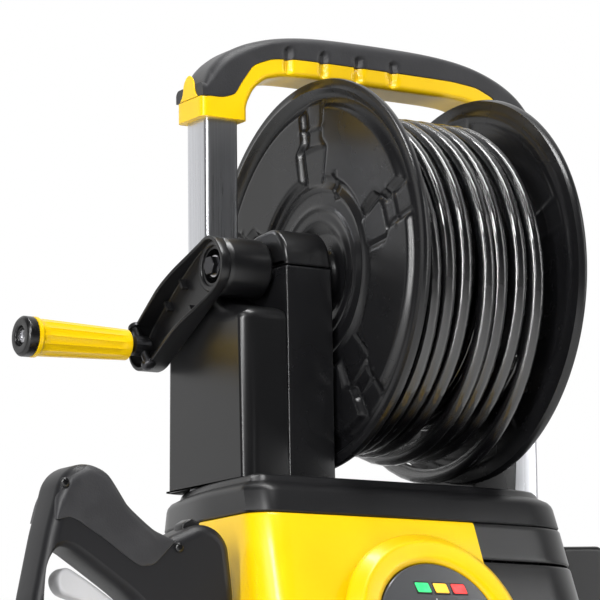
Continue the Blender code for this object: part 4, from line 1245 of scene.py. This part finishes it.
def panel_disc(profile, spot=(0.0, 0.0), steps=96, ripple=None, solid=True):
    """A turned shape standing on the panel: (radius, lift) about the panel's own normal."""
    profile = np.asarray(profile, float)
    angle = around(steps)
    radius, lift = profile[None, :, 0], profile[None, :, 1]
    if ripple is not None:
        radius = radius * ripple(angle, lift)
    points = on_panel(spot[0] + radius * np.cos(angle), spot[1] + radius * np.sin(angle), lift)
    return grid_mesh(points, wrap_v=not solid)


def panel_tile(corners, base, top, radius=0.0006):
    """A flat shape on the panel with softened edges, from one lift to another."""
    profile = edge_profile(base, top, min(radius, (top - base) * 0.45), 4)
    flat, lift = inset_rows(rounded(corners, radius * 1.6, 4), profile)
    return grid_mesh(on_panel(flat[..., 0], flat[..., 1], lift), caps=(True, True))


def build_controls():
    ring = filleted([(0.05, 0.001), (0.074, 0.001), (0.074, 0.0052), (0.0655, 0.0128), (0.053, 0.0122),
        (0.05, 0.009)], 0.0022, 6, True)
    piece("dial_ring", panel_disc(ring, steps=144, solid=False), "yellow", "control_ring")
    face = filleted([(0.0, 0.001), (0.0496, 0.001), (0.0496, 0.0098), (0.0484, 0.0104), (0.0, 0.0094)],
        0.0006, 4)
    piece("dial_face", panel_disc(face, steps=96), "glass", "display_panel")
    hood = filleted([(0.0285, 0.009), (0.0325, 0.009), (0.0322, 0.0122), (0.03, 0.0128),
        (0.0285, 0.0122)], 0.0006, 3, True)
    piece("knob_well", panel_disc(hood, (0.0, -0.014), solid=False), "black", slot="dark_grey_plastic")

    def grip(angle, lift):
        band = smooth(lift, 0.0115, 0.0135) * (1 - smooth(lift, 0.0235, 0.0255))
        return 1 - 0.045 * band * (0.5 + 0.5 * np.cos(angle * 24))

    knob = filleted([(0.0, 0.0108), (0.0248, 0.0108), (0.025, 0.013), (0.0238, 0.024), (0.02, 0.0266),
        (0.012, 0.0258), (0.0, 0.025)], 0.0012, 5)
    piece("knob_skin", panel_disc(knob, (0.0, -0.014), 192, grip), "yellow", "mode_knob", body="knob")
    bar = panel_tile([(-0.0022, -0.01), (0.0022, -0.01), (0.0022, 0.004), (-0.0022, 0.004)], 0.0255,
        0.0285, 0.0008)
    piece("knob_pointer", bar, "black", body="knob", slot="dark_grey_plastic")
    for tint, x in (("green", -0.01), ("amber", 0.005), ("red", 0.02)):
        corners = [(x - 0.0045, 0.0275), (x + 0.0065, 0.0275), (x + 0.0045, 0.0345),
            (x - 0.0065, 0.0345)]
        frame_corners = [(a + (0.0012 if a > x else -0.0012),
            b + (0.0012 if b > 0.03 else -0.0012)) for a, b in corners]
        piece("lamp_frame_" + tint, panel_tile(frame_corners, 0.0088, 0.0104), "black",
            slot="dark_grey_plastic")
        piece("lamp_window_" + tint, panel_tile(corners, 0.01, 0.0112), tint, "lamp_" + tint)
    for k in range(9):
        angle = math.radians(210 - k * 30)
        c, s = math.cos(angle), math.sin(angle)
        corners = [(r * c - w * s, -0.014 + r * s + w * c) for r,
            w in ((0.0338, -0.0005), (0.0375, -0.0005), (0.0375, 0.0005), (0.0338, 0.0005))]
        if corners[0][1] > 0.022:
            continue
        piece("dial_tick_%d" % (k + 1), panel_tile(corners, 0.0092, 0.0102, 0.0002), "trigger")


def build_hook():
    """Cable hook: a thick bracket with a downturned prong and a moulded pivot cap."""
    line = np.array([(0.1645, 0.33), (0.199, 0.328), (0.203, 0.322), (0.203, 0.302), (0.208, 0.292),
        (0.217, 0.296), (0.217, 0.372), (0.212, 0.378), (0.172, 0.376), (0.1645, 0.367)])
    outline = resampled(rounded(line + (PART_X, 0), 0.005, 6), 200)
    front, back = low("cable_hook")[1], high("cable_hook")[1]
    piece("hook_skin", slab(outline, front, back, 0.004, "Y", 6), "black", "cable_hook", body="hook")


# ---- Wheels and feet --------------------------------------------------------------------------
def build_wheels():
    treads = sizes().tread_count
    for side, sign in (("left", -1), ("right", 1)):
        node = "wheel_tyre_" + side
        near, far = reach_x(node)
        centre = (PART_X, WHEEL_Y, WHEEL_Z)
        mid = (near + far) / 2

        def tread(angle, along):
            x = np.abs(np.abs(along) - mid) / ((far - near) / 2)
            block = smooth(np.abs(np.sin(angle * treads / 2 + x * 2.2)), 0.12, 0.3)
            crown = smooth(0.86 - x, 0.0, 0.12)
            return 1 - 0.018 * crown * (1 - block)

        t = np.linspace(-math.pi / 2 * 0.98, math.pi / 2 * 0.98, 30)
        crown_r = WHEEL_R - 0.011 + 0.011 * np.cos(t) ** 0.55
        crown_x = mid + (far - near) / 2 * np.sin(t)
        profile = np.vstack([[(0.0724, near + 0.0006)], np.stack([crown_r, crown_x], -1),
            [(0.0724, far - 0.0006)]])
        drawn = profile * (1, sign)
        piece(node + "_skin", turned(drawn, centre, steps=treads * 10, ripple=tread), "tyre", node,
            body="wheel_" + side, angle=30.0)
        build_rim(side, sign, near, far, centre)


def build_rim(side, sign, near, far, centre):
    """Rim: a dished web with five raised spokes, as heights over (radius, angle)."""
    steps, rows = 240, 60
    angle = around(steps)
    radius = np.linspace(0.0066, 0.0718, rows)[None, :] * np.ones_like(angle)
    pitch = TAU / 5
    turn = np.abs((angle + pitch / 2) % pitch - pitch / 2)
    spoke = smooth(0.0135 - radius * np.sin(turn) * 0.9, 0.0, 0.0035)
    between = (1 - spoke) * smooth(radius, 0.023, 0.027) * (1 - smooth(radius, 0.058, 0.062))
    hub = 1 - smooth(radius, 0.018, 0.024)
    edge = smooth(radius, 0.062, 0.0665)
    outer = 0.207 + (far - 0.0025 - 0.207) * np.maximum(hub * 0.95, edge) - 0.0045 * between
    outer = outer + 0.0012 * bell(radius, 0.06, 0.0012)
    inner = 0.196 - (0.196 - near - 0.0015) * np.maximum(hub, edge)
    mesh = disc(centre, angle, [(radius, sign * outer), (radius[:, ::-1], sign * inner[:, ::-1])])
    node = "wheel_rim_" + side
    piece(node + "_skin", mesh, "deck_black", node, body="wheel_" + side, slot="dark_grey_plastic",
        angle=50.0)
    node = "hub_cap_" + side
    edge_x, tip = reach_x(node)
    cap = filleted([(0.0, edge_x + 0.0045), (0.0155, edge_x + 0.0035), (0.0157, edge_x + 0.005),
        (0.013, tip - 0.002), (0.006, tip - 0.0004), (0.0, tip - 0.0003)], 0.001, 5)
    drawn = cap * (1, sign)
    piece(node + "_skin", turned(drawn, centre), "yellow", node, body="wheel_" + side)


def build_feet():
    for side in ("left", "right"):
        node = "foot_" + side
        base, top = low(node), high(node)
        centre = ((base[0] + top[0]) / 2, (base[1] + top[1]) / 2, 0.0)
        profile = filleted([(0.0, 0.0), (0.015, 0.0), (0.0178, 0.0035), (0.0178, 0.012), (0.015, 0.016),
            (0.017, top[2]), (0.0, top[2])], 0.0012, 4)
        piece(node + "_skin", turned(profile, centre, "Z"), "rubber", node)


# ---- Carried-over nodes -----------------------------------------------------------------------
def dress_nodes():
    """Better finishes for the frame's own pieces that keep their shape."""
    looks = {"steel": ("wheel_axle", "reel_axle", "motor_rotor", "wobble_plate", "hose_connector"),
             "dark_steel_and_shade": ("crank_pivot_pin", "crank_spindle"),
             "cast": ("motor_stator", "pump_body", "pump_head", "reel_swivel"),
             "black": ("hook_boss", "cord_gland", "motor_fan", "feed_pipe"),
             "brass": ("water_inlet",)}
    for look, nodes in looks.items():
        for node in nodes:
            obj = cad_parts[node]
            obj.data.materials.clear()
            obj.data.materials.append(finish(look))


# ---- Stage ------------------------------------------------------------------------------------
SENSOR_MM, LENS_MM = 36.0, 196.332
LIGHT_AIM = (0.0, 0.0, 0.5)


def camera_axes():
    """Right, up and forward directions of the camera from its yaw, pitch and roll."""
    size = sizes()
    yaw, pitch, roll = size.camera_yaw, size.camera_pitch, size.camera_roll
    forward = np.array([math.sin(yaw) * math.cos(pitch), math.cos(yaw) * math.cos(pitch),
        math.sin(pitch)])
    right = np.array([math.cos(yaw), -math.sin(yaw), 0.0])
    up = np.cross(right, forward)
    c, s = math.cos(roll), math.sin(roll)
    return c * right + s * up, c * up - s * right, forward


def build_camera():
    right, up, forward = camera_axes()
    data = bpy.data.cameras.new("camera")
    data.sensor_width, data.lens = SENSOR_MM, LENS_MM
    camera = in_scene("camera", data)
    place = HUB - (0.0688 * right + 0.0117 * up + sizes().camera_distance * forward)
    columns = np.column_stack([right, up, -forward, place])
    camera.matrix_world = Matrix([*columns.tolist(), (0, 0, 0, 1)])
    bpy.context.scene.camera = camera


def area_light(name, spot, size, power):
    data = bpy.data.lights.new(name, "AREA")
    data.shape = "RECTANGLE"
    data.size, data.size_y = size
    data.energy = power
    light = in_scene(name, data)
    light.location = spot
    light.rotation_euler = (Vector(LIGHT_AIM) - Vector(spot)).to_track_quat("-Z", "Y").to_euler()


def studio_world():
    """White behind the machine, dim behind the camera: strength rises with the view direction."""
    world = bpy.data.worlds.new("studio")
    world.use_nodes = True
    sky = Tree(world.node_tree)
    facing = sky.add("ShaderNodeVectorMath", {"operation": "DOT_PRODUCT"},
        [sky.add("ShaderNodeTexCoord"), (0.45, 0.89, 0.0)], out=1)
    strength = sky.add("ShaderNodeMapRange", {"interpolation_type": "SMOOTHSTEP"},
        [facing, -0.25, 0.75, 0.05, 1.0])
    background = sky.nodes["Background"]
    sky.plug(strength, background.inputs["Strength"])
    sky.plug((1.0, 1.0, 1.0, 1.0), background.inputs["Color"])
    return world


def build_stage():
    bpy.ops.mesh.primitive_plane_add(size=24, location=(0, 0, -0.0005))
    floor = bpy.context.object
    floor.name = "studio_floor"
    floor.data.materials.append(finish("floor"))
    bpy.context.scene.world = studio_world()
    bpy.context.scene.view_settings.view_transform = "Standard"
    area_light("key_light", (-1.6, -1.9, 2.1), (0.6, 0.6), 44.0)
    area_light("left_strip", (-2.2, -1.35, 0.95), (0.09, 1.9), 44.0)
    area_light("right_strip", (1.9, -1.7, 1.15), (0.16, 1.9), 13.0)
    area_light("top_light", (0.1, -0.4, 2.4), (0.18, 1.6), 32.0)


# ---- Operators --------------------------------------------------------------------------------
def operator(idname, label, note, *builders):
    """One operator class that runs its builders in order."""
    def execute(self, context):
        for build in builders:
            build()
        return {"FINISHED"}

    return type("WASHER_OT_" + idname, (bpy.types.Operator,),
                {"bl_idname": "washer." + idname, "bl_label": label, "__doc__": note,
                 "execute": execute})


OPERATORS = (
    operator("camera", "Camera", "Places the camera in front and to the left", build_camera),
    operator("hose", "Hose", "Winds the hose onto the reel", build_hose),
    operator("reel", "Reel", "Makes the flanges and the drum", build_reel),
    operator("crank", "Crank", "Makes the crank arm, boss and folding grip", build_crank),
    operator("towers", "Towers", "Makes the towers, bearing caps and collars", build_towers),
    operator("handle", "Handle", "Makes the tubes, yoke and rubber grip", build_handle),
    operator("casing", "Casing", "Makes the covers, deck, base and louvres", build_casing),
    operator("controls", "Controls", "Makes the dial, lamps and knob", build_controls),
    operator("hook", "Cable hook", "Makes the turning cable hook", build_hook),
    operator("gun", "Trigger gun", "Makes the gun, trigger, barrel and holster", build_gun),
    operator("wheels", "Wheels", "Makes the tyres, rims, caps and feet", build_wheels, build_feet),
    operator("finishes", "Finishes", "Dresses the frame's remaining pieces", dress_nodes),
    operator("stage", "Stage", "Sets the floor and the lights", build_stage),
)


class WASHER_PT_build(bpy.types.Panel):
    """Lists the pieces that can be built."""
    bl_label = "Pressure washer"
    bl_idname = "WASHER_PT_build"
    bl_space_type = "VIEW_3D"
    bl_region_type = "UI"
    bl_category = "Washer"

    def draw(self, context):
        for made in OPERATORS:
            self.layout.operator(made.bl_idname)


CLASSES = (WasherColours, WasherSizes, *OPERATORS, WASHER_PT_build)


def register():
    for item in CLASSES:
        bpy.utils.register_class(item)
    bpy.types.Scene.washer_colours = PointerProperty(type=WasherColours)
    bpy.types.Scene.washer_sizes = PointerProperty(type=WasherSizes)


def unregister():
    del bpy.types.Scene.washer_sizes
    del bpy.types.Scene.washer_colours
    for item in reversed(CLASSES):
        bpy.utils.unregister_class(item)


def main():
    register()
    for made in OPERATORS:
        getattr(bpy.ops.washer, made.bl_idname.split(".")[1])()


if __name__ == "__main__":
    main()
